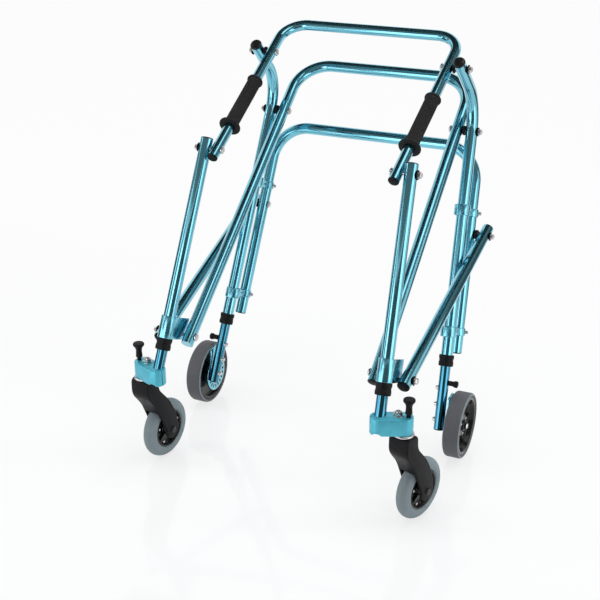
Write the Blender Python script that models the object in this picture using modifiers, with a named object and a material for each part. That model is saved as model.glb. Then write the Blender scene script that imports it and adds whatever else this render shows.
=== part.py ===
"""Reverse walker: a folding tube frame on four wheels, modelled in metres with +Z up.

+Y points from the front casters to the rear wheels and +X to the walker's right-hand side.
Stations along Y are measured from the line through the two caster stems; the model's
origin then lies under the middle of the frame's depth.
"""

import math

import bmesh
import bpy
from mathutils import Matrix, Vector

# Tubes
TUBE_R = 0.0127            # 25.4 mm frame tube
TUBE_WALL = 0.0012
HANDLE_R = 0.0111          # 22.2 mm handlebar tube
SLIDE_FIT = 0.0005         # between an inner leg tube and the tube it slides in
INNER_R = TUBE_R - TUBE_WALL - SLIDE_FIT
END_WALL = 0.003           # thickness of the plug that closes a tube's end
TUBE_SIDES = 12
WHEEL_STEPS = 18
BOLT_STEPS = 10

# Rear upright: foot of its axis on the floor, lean back and splay outwards
REAR_FOOT_X = 0.2732
REAR_FOOT_Y = 0.2490
REAR_LEAN = math.radians(23.0)
REAR_SPLAY = math.radians(3.474)
REAR_TUBE_END_Z = 0.216
REAR_INNER_TOP_Z = 0.42
REAR_INNER_END_Z = 0.070
REAR_TOP_ANGLE = math.radians(138.8)
REAR_BEND_R = 0.090
REAR_PAST_PIVOT = 0.024

# Front leg: foot of its axis on the floor, lean back and splay outwards
FRONT_FOOT_X = 0.2490
FRONT_FOOT_Y = -0.1172
FRONT_LEAN = math.radians(24.56)
FRONT_SPLAY = math.radians(2.902)
FRONT_TUBE_END_Z = 0.300
FRONT_INNER_TOP_Z = 0.50
FRONT_INNER_END_Z = 0.216
FRONT_TOP_PAST_PIVOT = 0.0190

# Handlebar
HANDLE_PIVOT_Y = 0.4520
HANDLE_PIVOT_Z = 0.7960
LEG_PIVOT_Z = 0.6530
HANDLE_HALF_REAR = 0.1960
HANDLE_HALF_FRONT = 0.1900
HANDLE_REACH = 0.0980      # from the pivot back to the crossbar
HANDLE_TAIL = 0.0230       # from the leg pivot forward to the tube's end
HANDLE_CORNER_R = 0.0520
GRIP_START = 0.0940        # from the pivot forward along the arm
GRIP_LENGTH = 0.1460
GRIP_R = 0.0155
GRIP_RING_R = 0.0172
GRIP_RING_LENGTH = 0.0080
GRIP_FLANGE_R = 0.0245
GRIP_FLANGE_LENGTH = 0.0060

# Mid bar, from its pivot on the uprights down to the front brackets
MID_PIVOT_Z = 0.6510
MID_HALF = 0.2020
MID_REACH = 0.1370
MID_TAIL = 0.0190
MID_CORNER_R = 0.0750

# Lower bar, parallel to the uprights and behind them
LOWER_PITCH = 0.0700
LOWER_END_Z = 0.1920
LOWER_BAR_Z = 0.6000
LOWER_CORNER_R = 0.0800
BRACE_PIVOT_Z = 0.4300

# Brace between the lower bar and the front bracket
BRACE_TAIL = 0.0200
BRACE_TOP_PAST_PIVOT = 0.0250
BRACE_SPACER = 0.0075

# Front bracket; its bolt's axis is given where a line square to the leg meets the leg
BRACKET_BOLT_UP = 0.0090   # above the end of the leg's outer tube
BRACKET_BOLT_BEHIND = 0.0460
BRACKET_LENGTH = 0.0450
BRACKET_WALL = 0.0030
BRACKET_REACH = 0.0600

# Guide clamps, fixed to the lower bar and sliding on the uprights
UPPER_CLAMP_Z = 0.4980
LOWER_CLAMP_Z = 0.2610
CLAMP_HEIGHT = 0.0230
CLAMP_WALL = 0.0045
CLAMP_SPLAY_ROOM = 0.0036  # the uprights come closer as the clamps slide up

# Collars at the open ends of the outer tubes
COLLAR_R = 0.0159
COLLAR_LENGTH = 0.0240

# Pivot bolts
BOLT_R = 0.0040
BOLT_CLEAR = 0.0006
BRACKET_BOLT_R = 0.0035
OPEN_PIVOT_CLEAR = 0.0030  # the fold closes on this bolt within about 1.5 mm
HEAD_R = 0.0065
HEAD_LENGTH = 0.0050
WASHER_R = 0.0088
WASHER_LENGTH = 0.0022
NUT_R = 0.0062
NUT_LENGTH = 0.0085
SPACER_R = 0.0100
GAP = 0.0003
FACE_GAP = 0.0008          # beside a washer or spacer, as the tubes lean a few degrees
CUT_REACH = 0.0300         # from a tube's axis to the ends of a hole's cutter

# Caster
STEM_X = 0.2800
STEM_Y = 0.0060
STEM_R = 0.0060
STEM_CLEAR = 0.0006
STEM_IN_BLOCK = 0.0150
BLOCK_TOP_Z = 0.2460
BLOCK_HEIGHT = 0.0340
BLOCK_ROUND = 0.0178
CROWN_GAP = 0.0050
FORK_HALF = 0.0225
FORK_CROWN_FRONT = 0.0165
FORK_CROWN_REAR = 0.0180
FORK_ARM_R = 0.0200
# Corners of the fork below its crown, as shares of the trail and of the rise from axle to crown
FORK_LEAN_START = 0.74
FORK_FRONT = ((0.17, 0.50),)
FORK_BACK = ((1.25, 0.25), (0.92, 0.51), (0.34, 0.78))
TRAIL = 0.0570
LEFT_SWIVEL = math.radians(8.0)
RIGHT_SWIVEL = math.radians(17.5)
FRONT_WHEEL_R = 0.0635
FRONT_WHEEL_WIDTH = 0.0290
FRONT_RIM_R = 0.0470
WHEEL_CLEAR = 0.0030
AXLE_R = 0.0040
AXLE_CLEAR = 0.0005
AXLE_HEAD_R = 0.0070
AXLE_HEAD_LENGTH = 0.0035

# Swivel lock knob
KNOB_OUT = 0.0085          # outboard of the stem
KNOB_PIN_R = 0.0045
KNOB_NECK_R = 0.0060
KNOB_HEAD_R = 0.0115
KNOB_TOP_Z = 0.2840
KNOB_PIN_IN_BLOCK = 0.0070
KNOB_TRAVEL = 0.0070

# Rear wheel
REAR_WHEEL_X = 0.3045
REAR_WHEEL_R = 0.0710
REAR_WHEEL_WIDTH = 0.0360
REAR_RIM_R = 0.0600
AXLE_BEHIND = 0.0320       # behind the rear leg's axis, square to it
PLATE_THICK = 0.0050
PLATE_R = 0.0360
RATCHET_KNOB_Z = 0.1620
RATCHET_KNOB_R = 0.0072
RATCHET_KNOB_LENGTH = 0.0200
RATCHET_PIN_R = 0.0030

CUTTERS = "walker_cutters"
PARTS = "walker"


def fresh_scene():
    """Empties the scene and makes the collections for the parts and the cutters."""
    for obj in list(bpy.data.objects):
        bpy.data.objects.remove(obj, do_unlink=True)
    for name in (PARTS, CUTTERS):
        found = bpy.data.collections.get(name)
        if found is None:
            found = bpy.data.collections.new(name)
            bpy.context.scene.collection.children.link(found)


def material(name, colour, roughness, metallic):
    """A Principled material with these values, made once."""
    found = bpy.data.materials.get(name)
    if found is None:
        found = bpy.data.materials.new(name)
        found.use_nodes = True
        shader = found.node_tree.nodes["Principled BSDF"]
        shader.inputs["Base Color"].default_value = (*colour, 1.0)
        shader.inputs["Roughness"].default_value = roughness
        shader.inputs["Metallic"].default_value = metallic
    return found


def anodised():
    return material("anodised_teal", (0.02, 0.22, 0.33), 0.25, 1.0)


def satin_teal():
    return material("satin_teal", (0.10, 0.45, 0.58), 0.4, 0.8)


def black_plastic():
    return material("black_plastic", (0.02, 0.02, 0.02), 0.45, 0.0)


def steel():
    return material("bright_steel", (0.65, 0.65, 0.66), 0.25, 1.0)


def grip_rubber():
    return material("grip_rubber", (0.035, 0.033, 0.033), 0.7, 0.0)


def front_tyre_rubber():
    return material("front_tyre_rubber", (0.20, 0.24, 0.25), 0.6, 0.0)


def rear_tyre_rubber():
    return material("rear_tyre_rubber", (0.09, 0.09, 0.10), 0.65, 0.0)


# Lines and points

class Line:
    """A leg's axis: a point on the floor and a direction, read at any height."""

    def __init__(self, side, foot_x, foot_y, splay, lean):
        self.foot = Vector((side * foot_x, foot_y, 0.0))
        self.slope = Vector((-side * math.tan(splay), math.tan(lean), 1.0))
        self.direction = self.slope.normalized()

    def at(self, height):
        return self.foot + self.slope * height


def rear_line(side):
    return Line(side, REAR_FOOT_X, REAR_FOOT_Y, REAR_SPLAY, REAR_LEAN)


def front_line(side):
    return Line(side, FRONT_FOOT_X, FRONT_FOOT_Y, FRONT_SPLAY, FRONT_LEAN)


def lower_line(side):
    behind = LOWER_PITCH / math.cos(REAR_LEAN)
    return Line(side, REAR_FOOT_X, REAR_FOOT_Y + behind, REAR_SPLAY, REAR_LEAN)


def handle_pivot():
    return Vector((0.0, HANDLE_PIVOT_Y, HANDLE_PIVOT_Z))


def leg_pivot():
    point = front_line(1).at(LEG_PIVOT_Z)
    return Vector((0.0, point.y, point.z))


def mid_pivot():
    point = rear_line(1).at(MID_PIVOT_Z)
    return Vector((0.0, point.y, point.z))


def bracket_bolt():
    point = front_line(1).at(FRONT_TUBE_END_Z + BRACKET_BOLT_UP)
    down = BRACKET_BOLT_BEHIND * math.sin(FRONT_LEAN)
    back = BRACKET_BOLT_BEHIND * math.cos(FRONT_LEAN)
    return Vector((0.0, point.y + back, point.z - down))


def brace_pivot():
    point = lower_line(1).at(BRACE_PIVOT_Z)
    return Vector((0.0, point.y, point.z))


def stem_point(side, height=0.0):
    return Vector((side * STEM_X, STEM_Y, height))


def rear_axle_point(side):
    """Centre of the rear wheel: on the floor, behind the leg's axis."""
    behind = AXLE_BEHIND / math.cos(REAR_LEAN)
    leg = rear_line(side).at(REAR_WHEEL_R)
    return Vector((side * REAR_WHEEL_X, leg.y + behind, REAR_WHEEL_R))


def plate_face():
    """Distance of the ratchet plate's inboard face from the middle plane: it seats on the leg."""
    return rear_line(1).at(REAR_INNER_END_Z).x + INNER_R + GAP


def swivel(side):
    return LEFT_SWIVEL if side < 0 else RIGHT_SWIVEL


def front_axle_point(side):
    turn = swivel(side)
    trail = Vector((math.sin(turn), math.cos(turn), 0.0)) * TRAIL
    return stem_point(side, FRONT_WHEEL_R) + trail


def depth_middle():
    """Station halfway between the frontmost caster block and the back of the mid bar."""
    reach = (mid_pivot() - bracket_bolt()).normalized() * MID_REACH
    back = mid_pivot().y + reach.y + TUBE_R
    leg = front_line(1).at(BLOCK_TOP_Z - BLOCK_HEIGHT / 2)
    front = leg.y - BLOCK_ROUND
    return (front + back) / 2


def centred(point):
    """From stations to the model's own frame."""
    return Vector((point[0], point[1] - depth_middle(), point[2]))


# Making meshes

def finish(obj, name, finish_material, collection=PARTS):
    obj.name = name
    obj.data.name = name
    for owner in list(obj.users_collection):
        owner.objects.unlink(obj)
    bpy.data.collections[collection].objects.link(obj)
    obj.data.materials.clear()
    if finish_material is not None:
        obj.data.materials.append(finish_material)
    if collection == CUTTERS:
        obj.hide_render = True
        obj.display_type = "WIRE"
    return obj


def mesh_object(name, mesh, finish_material, collection=PARTS):
    return finish(bpy.data.objects.new(name, mesh), name, finish_material, collection)


def smooth(obj, angle=math.radians(35)):
    obj.data.shade_smooth()
    obj.data.set_sharp_from_angle(angle=angle)


def swept(name, points, radius, finish_material, collection=PARTS, sides=TUBE_SIDES):
    """A round bar along the points: a bevelled curve turned into a mesh with welded caps."""
    curve = bpy.data.curves.new(name, "CURVE")
    curve.dimensions = "3D"
    curve.bevel_depth = radius
    curve.bevel_resolution = sides // 2 - 2
    curve.use_fill_caps = True
    curve.resolution_u = 1
    curve.render_resolution_u = 0
    spline = curve.splines.new("POLY")
    spline.points.add(len(points) - 1)
    for knot, point in zip(spline.points, points):
        knot.co = (*point, 1.0)
    rail = bpy.data.objects.new(name, curve)
    bpy.data.collections[CUTTERS].objects.link(rail)
    bpy.context.view_layer.update()
    evaluated = rail.evaluated_get(bpy.context.evaluated_depsgraph_get())
    mesh = bpy.data.meshes.new_from_object(evaluated)
    place = rail.matrix_world.copy()
    bpy.data.objects.remove(rail, do_unlink=True)
    shell = bmesh.new()
    shell.from_mesh(mesh)
    bmesh.ops.remove_doubles(shell, verts=shell.verts, dist=0.00001)
    bmesh.ops.recalc_face_normals(shell, faces=shell.faces)
    shell.to_mesh(mesh)
    shell.free()
    obj = mesh_object(name, mesh, finish_material, collection)
    obj.matrix_world = place
    smooth(obj)
    return obj


def rounded(points, radii, steps=4):
    """The points with each inner corner replaced by an arc of its radius."""
    path = [points[0]]
    for before, corner, after, radius in zip(points, points[1:], points[2:], radii):
        to_start = (before - corner).normalized()
        to_end = (after - corner).normalized()
        opening = to_start.angle(to_end)
        reach = radius / math.tan(opening / 2)
        start = corner + to_start * reach
        end = corner + to_end * reach
        middle = (to_start + to_end).normalized()
        centre = corner + middle * (radius / math.sin(opening / 2))
        turn = math.pi - opening
        for step in range(steps + 1):
            share = step / steps
            first = math.sin((1 - share) * turn) / math.sin(turn)
            second = math.sin(share * turn) / math.sin(turn)
            path.append(centre + (start - centre) * first + (end - centre) * second)
    path.append(points[-1])
    return path


def shortened(path, start, end):
    """The path with its first and last points moved inwards; a minus sign lengthens it."""
    first = path[0] + (path[1] - path[0]).normalized() * start
    last = path[-1] + (path[-2] - path[-1]).normalized() * end
    return [first, *path[1:-1], last]


def boolean(target, cutter, operation="DIFFERENCE"):
    step = target.modifiers.new(cutter.name, "BOOLEAN")
    step.operation = operation
    step.solver = "EXACT"
    step.object = cutter


def tube(name, path, radius, finish_material, plugged=(True, True), sides=TUBE_SIDES):
    """A hollow tube along the path, its ends closed by plugs or left open."""
    outer = swept(name, path, radius, finish_material, sides=sides)
    start = END_WALL if plugged[0] else -END_WALL
    end = END_WALL if plugged[1] else -END_WALL
    core = swept(name + "_bore", shortened(path, start, end), radius - TUBE_WALL,
                 None, CUTTERS, sides)
    boolean(outer, core)
    return outer


def rod_cutter(name, start, end, radius, sides=12):
    return swept(name, [start, end], radius, None, CUTTERS, sides)


def cross_hole(target, name, point, radius):
    """A hole along X through the target at a point."""
    ends = [point - Vector((CUT_REACH, 0, 0)), point + Vector((CUT_REACH, 0, 0))]
    boolean(target, rod_cutter(name, ends[0], ends[1], radius))


def axis_frame(origin, up, across=Vector((1, 0, 0))):
    """A frame at the origin with Z along up and X as near across as it can be."""
    up = up.normalized()
    left = up.cross(across).normalized()
    right = left.cross(up)
    frame = Matrix((right, left, up)).transposed().to_4x4()
    frame.translation = origin
    return frame


def turned(name, profile, frame, finish_material, steps=16, collection=PARTS, closed=False):
    """A profile of (radius, height) pairs, from top to bottom, turned about the frame's Z."""
    mesh = bpy.data.meshes.new(name)
    verts = [(radius, 0.0, height) for radius, height in profile]
    edges = [(i, i + 1) for i in range(len(verts) - 1)]
    if closed:
        edges.append((len(verts) - 1, 0))
    mesh.from_pydata(verts, edges, [])
    obj = mesh_object(name, mesh, finish_material, collection)
    obj.matrix_world = frame
    screw = obj.modifiers.new("turn", "SCREW")
    screw.axis = "Z"
    screw.angle = math.tau
    screw.steps = steps
    screw.render_steps = steps
    screw.use_merge_vertices = True
    screw.merge_threshold = 0.00001
    screw.use_smooth_shade = True
    return obj


def ring(name, inner, outer, length, frame, finish_material, steps=16, chamfer=0.0008):
    """A collar from the frame's origin up its Z."""
    profile = [(inner, length), (outer - chamfer, length), (outer, length - chamfer),
               (outer, chamfer), (outer - chamfer, 0.0), (inner, 0.0)]
    return turned(name, profile, frame, finish_material, steps, closed=True)


def bolt_along_x(name, side, centre, stations, finish_material, steps=BOLT_STEPS):
    """A stepped bolt: stations are (distance from the middle plane, radius) pairs, inboard first."""
    frame = axis_frame(Vector((0, centre.y, centre.z)), Vector((side, 0, 0)), Vector((0, 1, 0)))
    outline = [(0.0, stations[-1][0])]
    outline += [(radius, out) for out, radius in reversed(stations)]
    outline.append((0.0, stations[0][0]))
    return turned(name, outline, frame, finish_material, steps)


def box_mesh(name, size, frame, finish_material, collection=PARTS):
    bpy.ops.mesh.primitive_cube_add(size=1.0)
    obj = bpy.context.object
    obj.data.transform(Matrix.Diagonal((*size, 1.0)))
    obj.matrix_world = frame
    return finish(obj, name, finish_material, collection)


def slab(name, outline, thickness, frame, finish_material, collection=PARTS):
    """A flat outline in the frame's XY plane, filled and extruded about that plane."""
    curve = bpy.data.curves.new(name, "CURVE")
    curve.dimensions = "2D"
    curve.fill_mode = "BOTH"
    curve.extrude = thickness / 2
    curve.resolution_u = 1
    curve.render_resolution_u = 0
    spline = curve.splines.new("POLY")
    spline.points.add(len(outline) - 1)
    for knot, point in zip(spline.points, outline):
        knot.co = (point[0], point[1], 0.0, 1.0)
    spline.use_cyclic_u = True
    sheet = bpy.data.objects.new(name, curve)
    bpy.data.collections[CUTTERS].objects.link(sheet)
    bpy.context.view_layer.update()
    evaluated = sheet.evaluated_get(bpy.context.evaluated_depsgraph_get())
    mesh = bpy.data.meshes.new_from_object(evaluated)
    bpy.data.objects.remove(sheet, do_unlink=True)
    shell = bmesh.new()
    shell.from_mesh(mesh)
    bmesh.ops.remove_doubles(shell, verts=shell.verts, dist=0.00001)
    bmesh.ops.recalc_face_normals(shell, faces=shell.faces)
    shell.to_mesh(mesh)
    shell.free()
    obj = mesh_object(name, mesh, finish_material, collection)
    obj.matrix_world = frame
    smooth(obj)
    return obj


def arc(centre, radius, start, end, steps):
    """Points on an arc, its angles in degrees."""
    points = []
    for step in range(steps + 1):
        angle = math.radians(start + (end - start) * step / steps)
        points.append((centre[0] + radius * math.cos(angle),
                       centre[1] + radius * math.sin(angle)))
    return points


def hull_round(first, second, radius, steps=8):
    """Outline of two equal circles joined by straight sides."""
    heading = math.degrees(math.atan2(second[1] - first[1], second[0] - first[0]))
    outline = arc(second, radius, heading - 90, heading + 90, steps)
    outline += arc(first, radius, heading + 90, heading + 270, steps)
    return outline


def side_name(side):
    return "left" if side < 0 else "right"


def pivot_empty(name, point):
    empty = bpy.data.objects.new(name, None)
    bpy.data.collections[PARTS].objects.link(empty)
    empty.location = point
    empty.empty_display_size = 0.03
    return empty


def carry(pivot, pieces):
    """Parents the pieces to the pivot and leaves them where they are."""
    bpy.context.view_layer.update()
    for piece in pieces:
        piece.parent = pivot
        piece.matrix_parent_inverse = pivot.matrix_world.inverted()


# The tube frame

def rear_upright_path(side):
    """Bottom end, bend corner and top end of an upright's axis."""
    line = rear_line(side)
    forward = Vector((0, math.cos(REAR_TOP_ANGLE), math.sin(REAR_TOP_ANGLE)))
    pivot = handle_pivot()
    rise = math.tan(REAR_LEAN)
    miss = pivot.y - (REAR_FOOT_Y + rise * pivot.z)
    back = miss / (forward.y - rise * forward.z)
    corner_z = pivot.z - forward.z * back
    top_z = pivot.z + forward.z * REAR_PAST_PIVOT
    top_x = line.at(top_z).x
    top = Vector((top_x, pivot.y + forward.y * REAR_PAST_PIVOT, top_z))
    return [line.at(REAR_TUBE_END_Z), line.at(corner_z), top]


def upright_x(side):
    """X of the upright's axis where the handlebar's bolt crosses it."""
    path = rear_upright_path(side)
    share = (HANDLE_PIVOT_Z - path[1].z) / (path[2].z - path[1].z)
    return abs(path[1].x + (path[2].x - path[1].x) * share)


def rear_upright(side):
    name = side_name(side) + "_rear_upright"
    corners = [centred(point) for point in rear_upright_path(side)]
    path = rounded(corners, [REAR_BEND_R])
    upright = tube(name, path, TUBE_R, anodised(), (False, False))
    hole = BOLT_R + BOLT_CLEAR
    pivot = handle_pivot() + Vector((side * upright_x(side), 0, 0))
    cross_hole(upright, name + "_handle_hole", centred(pivot), hole)
    point = rear_line(side).at(MID_PIVOT_Z)
    cross_hole(upright, name + "_mid_hole", centred(point), hole)
    cap_frame = axis_frame(path[-1], path[-1] - path[-2])
    cap_profile = [(0.0, 0.0095), (TUBE_R - 0.001, 0.0095), (TUBE_R + 0.0012, 0.0070),
                   (TUBE_R + 0.0012, GAP), (TUBE_R - TUBE_WALL - SLIDE_FIT, GAP),
                   (TUBE_R - TUBE_WALL - SLIDE_FIT, -0.010), (0.0, -0.010)]
    cap = turned(side_name(side) + "_rear_upright_cap", cap_profile, cap_frame, black_plastic(), 16)
    line = rear_line(side)
    foot = centred(line.at(REAR_TUBE_END_Z)) - line.direction * (COLLAR_LENGTH + GAP)
    collar = ring(side_name(side) + "_rear_collar", INNER_R + SLIDE_FIT, COLLAR_R, COLLAR_LENGTH,
                  axis_frame(foot, line.direction), black_plastic())
    return [upright, cap, collar]


def handlebar():
    pivot, front = handle_pivot(), leg_pivot()
    along = (front - pivot).normalized()
    reach = (front - pivot).length

    def arm(side, distance):
        return Vector((side * handle_half(distance), 0, 0)) + pivot + along * distance

    end = reach + HANDLE_TAIL
    corners = [arm(-1, end), arm(-1, -HANDLE_REACH), arm(1, -HANDLE_REACH), arm(1, end)]
    path = rounded([centred(point) for point in corners], [HANDLE_CORNER_R] * 2)
    bar = tube("handlebar", path, HANDLE_R, anodised())
    pieces = [bar]
    for side in (-1, 1):
        tag = side_name(side)
        for label, distance in (("handle", 0.0), ("leg", reach)):
            cross_hole(bar, f"handlebar_{tag}_{label}_hole", centred(arm(side, distance)),
                       BOLT_R + BOLT_CLEAR)
        start = centred(arm(side, GRIP_START))
        toward = centred(arm(side, GRIP_START + GRIP_LENGTH)) - start
        bore = HANDLE_R + GAP
        flange = GRIP_LENGTH - GRIP_FLANGE_LENGTH
        profile = [(bore, GRIP_LENGTH), (GRIP_FLANGE_R - 0.001, GRIP_LENGTH),
                   (GRIP_FLANGE_R, GRIP_LENGTH - 0.001), (GRIP_FLANGE_R, flange + 0.001),
                   (GRIP_FLANGE_R - 0.001, flange), (GRIP_R, flange),
                   (GRIP_R, GRIP_RING_LENGTH), (GRIP_RING_R, GRIP_RING_LENGTH - 0.001),
                   (GRIP_RING_R, 0.0), (bore, 0.0)]
        pieces.append(turned(tag + "_grip", profile, axis_frame(start, toward), grip_rubber(),
                             16, closed=True))
    return pieces


def handle_half(distance):
    """Half-width of the handlebar at a distance forward of its pivot."""
    reach = (leg_pivot() - handle_pivot()).length
    return HANDLE_HALF_REAR - (HANDLE_HALF_REAR - HANDLE_HALF_FRONT) * distance / reach


def mid_bar():
    pivot, bolt = mid_pivot(), bracket_bolt()
    along = (bolt - pivot).normalized()
    reach = (bolt - pivot).length

    def leg(side, distance):
        return Vector((side * MID_HALF, 0, 0)) + pivot + along * distance

    end = reach + MID_TAIL
    corners = [leg(-1, end), leg(-1, -MID_REACH), leg(1, -MID_REACH), leg(1, end)]
    path = rounded([centred(point) for point in corners], [MID_CORNER_R] * 2)
    bar = tube("mid_bar", path, TUBE_R, anodised())
    for side in (-1, 1):
        tag = side_name(side)
        cross_hole(bar, f"mid_bar_{tag}_pivot_hole", centred(leg(side, 0.0)), BOLT_R + BOLT_CLEAR)
        cross_hole(bar, f"mid_bar_{tag}_bracket_hole", centred(leg(side, reach)),
                   BRACKET_BOLT_R + OPEN_PIVOT_CLEAR)
    return [bar]


def clamp(side, height, name):
    """A block bolted to the lower bar that reaches forward round the upright."""
    front = centred(rear_line(side).at(height))
    frame = axis_frame(front, rear_line(side).direction)
    level = frame.inverted() @ centred(lower_line(side).at(height))
    rear = frame @ Vector((level.x, level.y, 0.0))
    around = TUBE_R + GAP + CLAMP_WALL
    outline = hull_round((0.0, 0.0), (level.x, level.y), around)
    block = slab(name, outline, CLAMP_HEIGHT, frame, satin_teal())
    across = Vector((1, 0, 0))
    inward = Vector((-side * CLAMP_SPLAY_ROOM, 0, 0))
    reach = rear_line(side).direction * CLAMP_HEIGHT
    for label, centre in (("rear", rear), ("front", front), ("front_room", front + inward)):
        bore = rod_cutter(f"{name}_{label}_bore", centre - reach, centre + reach,
                          TUBE_R + 2 * GAP, TUBE_SIDES)
        boolean(block, bore)
    inner_frame = axis_frame((front + rear) / 2 + across * (-side * around), frame.col[2].xyz)
    between = (rear - front).length - 2 * TUBE_R
    window = box_mesh(name + "_window", (around * 1.3, between, CLAMP_HEIGHT * 1.2),
                      inner_frame, None, CUTTERS)
    boolean(block, window)
    return block


def lower_bar():
    corners = []
    for side, heights in ((-1, (LOWER_END_Z, LOWER_BAR_Z)), (1, (LOWER_BAR_Z, LOWER_END_Z))):
        corners += [centred(lower_line(side).at(height)) for height in heights]
    path = rounded(corners, [LOWER_CORNER_R] * 2)
    bar = tube("lower_bar", path, TUBE_R, anodised())
    pieces = [bar]
    for side in (-1, 1):
        tag = side_name(side)
        cross_hole(bar, f"lower_bar_{tag}_hole", centred(lower_line(side).at(BRACE_PIVOT_Z)),
                   BOLT_R + BOLT_CLEAR)
        pieces.append(clamp(side, UPPER_CLAMP_Z, tag + "_upper_clamp"))
        pieces.append(clamp(side, LOWER_CLAMP_Z, tag + "_lower_clamp"))
    return pieces


def brace_half_low():
    """Half-width of the brace's axis at the bracket bolt."""
    leg = front_line(1).at(FRONT_TUBE_END_Z + BRACKET_BOLT_UP).x
    return leg + TUBE_R + GAP + BRACKET_WALL + WASHER_LENGTH / 2 + TUBE_R


def brace_half_high():
    leg = abs(lower_line(1).at(BRACE_PIVOT_Z).x)
    return leg + TUBE_R + BRACE_SPACER + TUBE_R


def brace(side):
    name = side_name(side) + "_brace"
    low = bracket_bolt() + Vector((side * brace_half_low(), 0, 0))
    high = brace_pivot() + Vector((side * brace_half_high(), 0, 0))
    along = (high - low).normalized()
    path = [centred(low - along * BRACE_TAIL), centred(low), centred(high),
            centred(high + along * BRACE_TOP_PAST_PIVOT)]
    bar = tube(name, path, TUBE_R, anodised())
    cross_hole(bar, name + "_low_hole", path[1], BRACKET_BOLT_R + OPEN_PIVOT_CLEAR)
    cross_hole(bar, name + "_high_hole", path[2], BOLT_R + BOLT_CLEAR)
    return [bar]


def front_leg(side):
    tag = side_name(side)
    name = tag + "_front_leg"
    line = front_line(side)
    low = centred(line.at(FRONT_TUBE_END_Z))
    high = centred(line.at(LEG_PIVOT_Z)) + line.direction * FRONT_TOP_PAST_PIVOT
    leg = tube(name, [low, high], TUBE_R, anodised(), (False, True))
    cross_hole(leg, name + "_hole", centred(line.at(LEG_PIVOT_Z)), BOLT_R + BOLT_CLEAR)
    collar_foot = low - line.direction * (COLLAR_LENGTH + GAP)
    collar = ring(tag + "_front_collar", INNER_R + SLIDE_FIT, COLLAR_R, COLLAR_LENGTH,
                  axis_frame(collar_foot, line.direction), black_plastic())
    return [leg, front_bracket(side), collar]


def front_bracket(side):
    """A sleeve round the leg with two plates that reach back to the bracket bolt."""
    name = side_name(side) + "_front_bracket"
    line = front_line(side)
    foot = centred(line.at(FRONT_TUBE_END_Z))
    frame = axis_frame(foot, line.direction)
    outer = TUBE_R + GAP + BRACKET_WALL
    outline = arc((0.0, 0.0), outer, 180, 360, 12)
    outline += [(outer, BRACKET_REACH), (-outer, BRACKET_REACH)]
    lifted = frame @ Matrix.Translation((0, 0, BRACKET_LENGTH / 2))
    bracket = slab(name, outline, BRACKET_LENGTH, lifted, satin_teal())
    reach = line.direction * BRACKET_LENGTH
    bore = rod_cutter(name + "_bore", foot - reach, foot + reach * 2, TUBE_R + 1.6 * GAP,
                      TUBE_SIDES)
    boolean(bracket, bore)
    inner = outer - BRACKET_WALL
    depth = BRACKET_REACH - TUBE_R + GAP * 10
    slot_frame = frame @ Matrix.Translation((0, TUBE_R + depth / 2, BRACKET_LENGTH / 2))
    slot = box_mesh(name + "_slot", (2 * inner, depth, BRACKET_LENGTH * 1.2), slot_frame, None,
                    CUTTERS)
    boolean(bracket, slot)
    point = bracket_bolt() + Vector((line.at(FRONT_TUBE_END_Z + BRACKET_BOLT_UP).x, 0, 0))
    cross_hole(bracket, name + "_bolt_hole", centred(point), BRACKET_BOLT_R + 3 * GAP)
    return bracket


# Pivot bolts

def pivot_bolt(name, side, pivot, inner_tube, outer_tube, shank):
    """A bolt through two tubes with a spacer between them: each tube is (half-width, radius)."""
    inner_face = inner_tube[0] - inner_tube[1]
    spacer_in = inner_tube[0] + inner_tube[1] + FACE_GAP
    spacer_out = outer_tube[0] - outer_tube[1] - FACE_GAP
    outer_face = outer_tube[0] + outer_tube[1]
    stations = [(inner_face - FACE_GAP - HEAD_LENGTH, HEAD_R), (inner_face - FACE_GAP, HEAD_R),
                (inner_face - FACE_GAP, shank), (spacer_in, shank)]
    if spacer_out - spacer_in > FACE_GAP:
        stations += [(spacer_in, SPACER_R), (spacer_out, SPACER_R), (spacer_out, shank)]
    stations += [(outer_face + FACE_GAP, shank), (outer_face + FACE_GAP, WASHER_R),
                 (outer_face + FACE_GAP + WASHER_LENGTH, WASHER_R),
                 (outer_face + FACE_GAP + WASHER_LENGTH, NUT_R),
                 (outer_face + FACE_GAP + NUT_LENGTH * 0.7, NUT_R),
                 (outer_face + FACE_GAP + NUT_LENGTH, NUT_R * 0.5)]
    return bolt_along_x(name, side, centred(pivot), stations, steel())


def handle_bolt(side):
    return pivot_bolt(side_name(side) + "_handle_pivot_bolt", side, handle_pivot(),
                      (HANDLE_HALF_REAR, HANDLE_R), (upright_x(side), TUBE_R), BOLT_R)


def leg_bolt(side):
    reach = (leg_pivot() - handle_pivot()).length
    half = abs(front_line(side).at(LEG_PIVOT_Z).x)
    return pivot_bolt(side_name(side) + "_leg_pivot_bolt", side, leg_pivot(),
                      (handle_half(reach), HANDLE_R), (half, TUBE_R), BOLT_R)


def mid_bolt(side):
    half = abs(rear_line(side).at(MID_PIVOT_Z).x)
    return pivot_bolt(side_name(side) + "_mid_pivot_bolt", side, mid_pivot(),
                      (MID_HALF, TUBE_R), (half, TUBE_R), BOLT_R)


def brace_bolt(side):
    half = abs(lower_line(side).at(BRACE_PIVOT_Z).x)
    return pivot_bolt(side_name(side) + "_brace_pivot_bolt", side, brace_pivot(),
                      (half, TUBE_R), (brace_half_high(), TUBE_R), BOLT_R)


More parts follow.
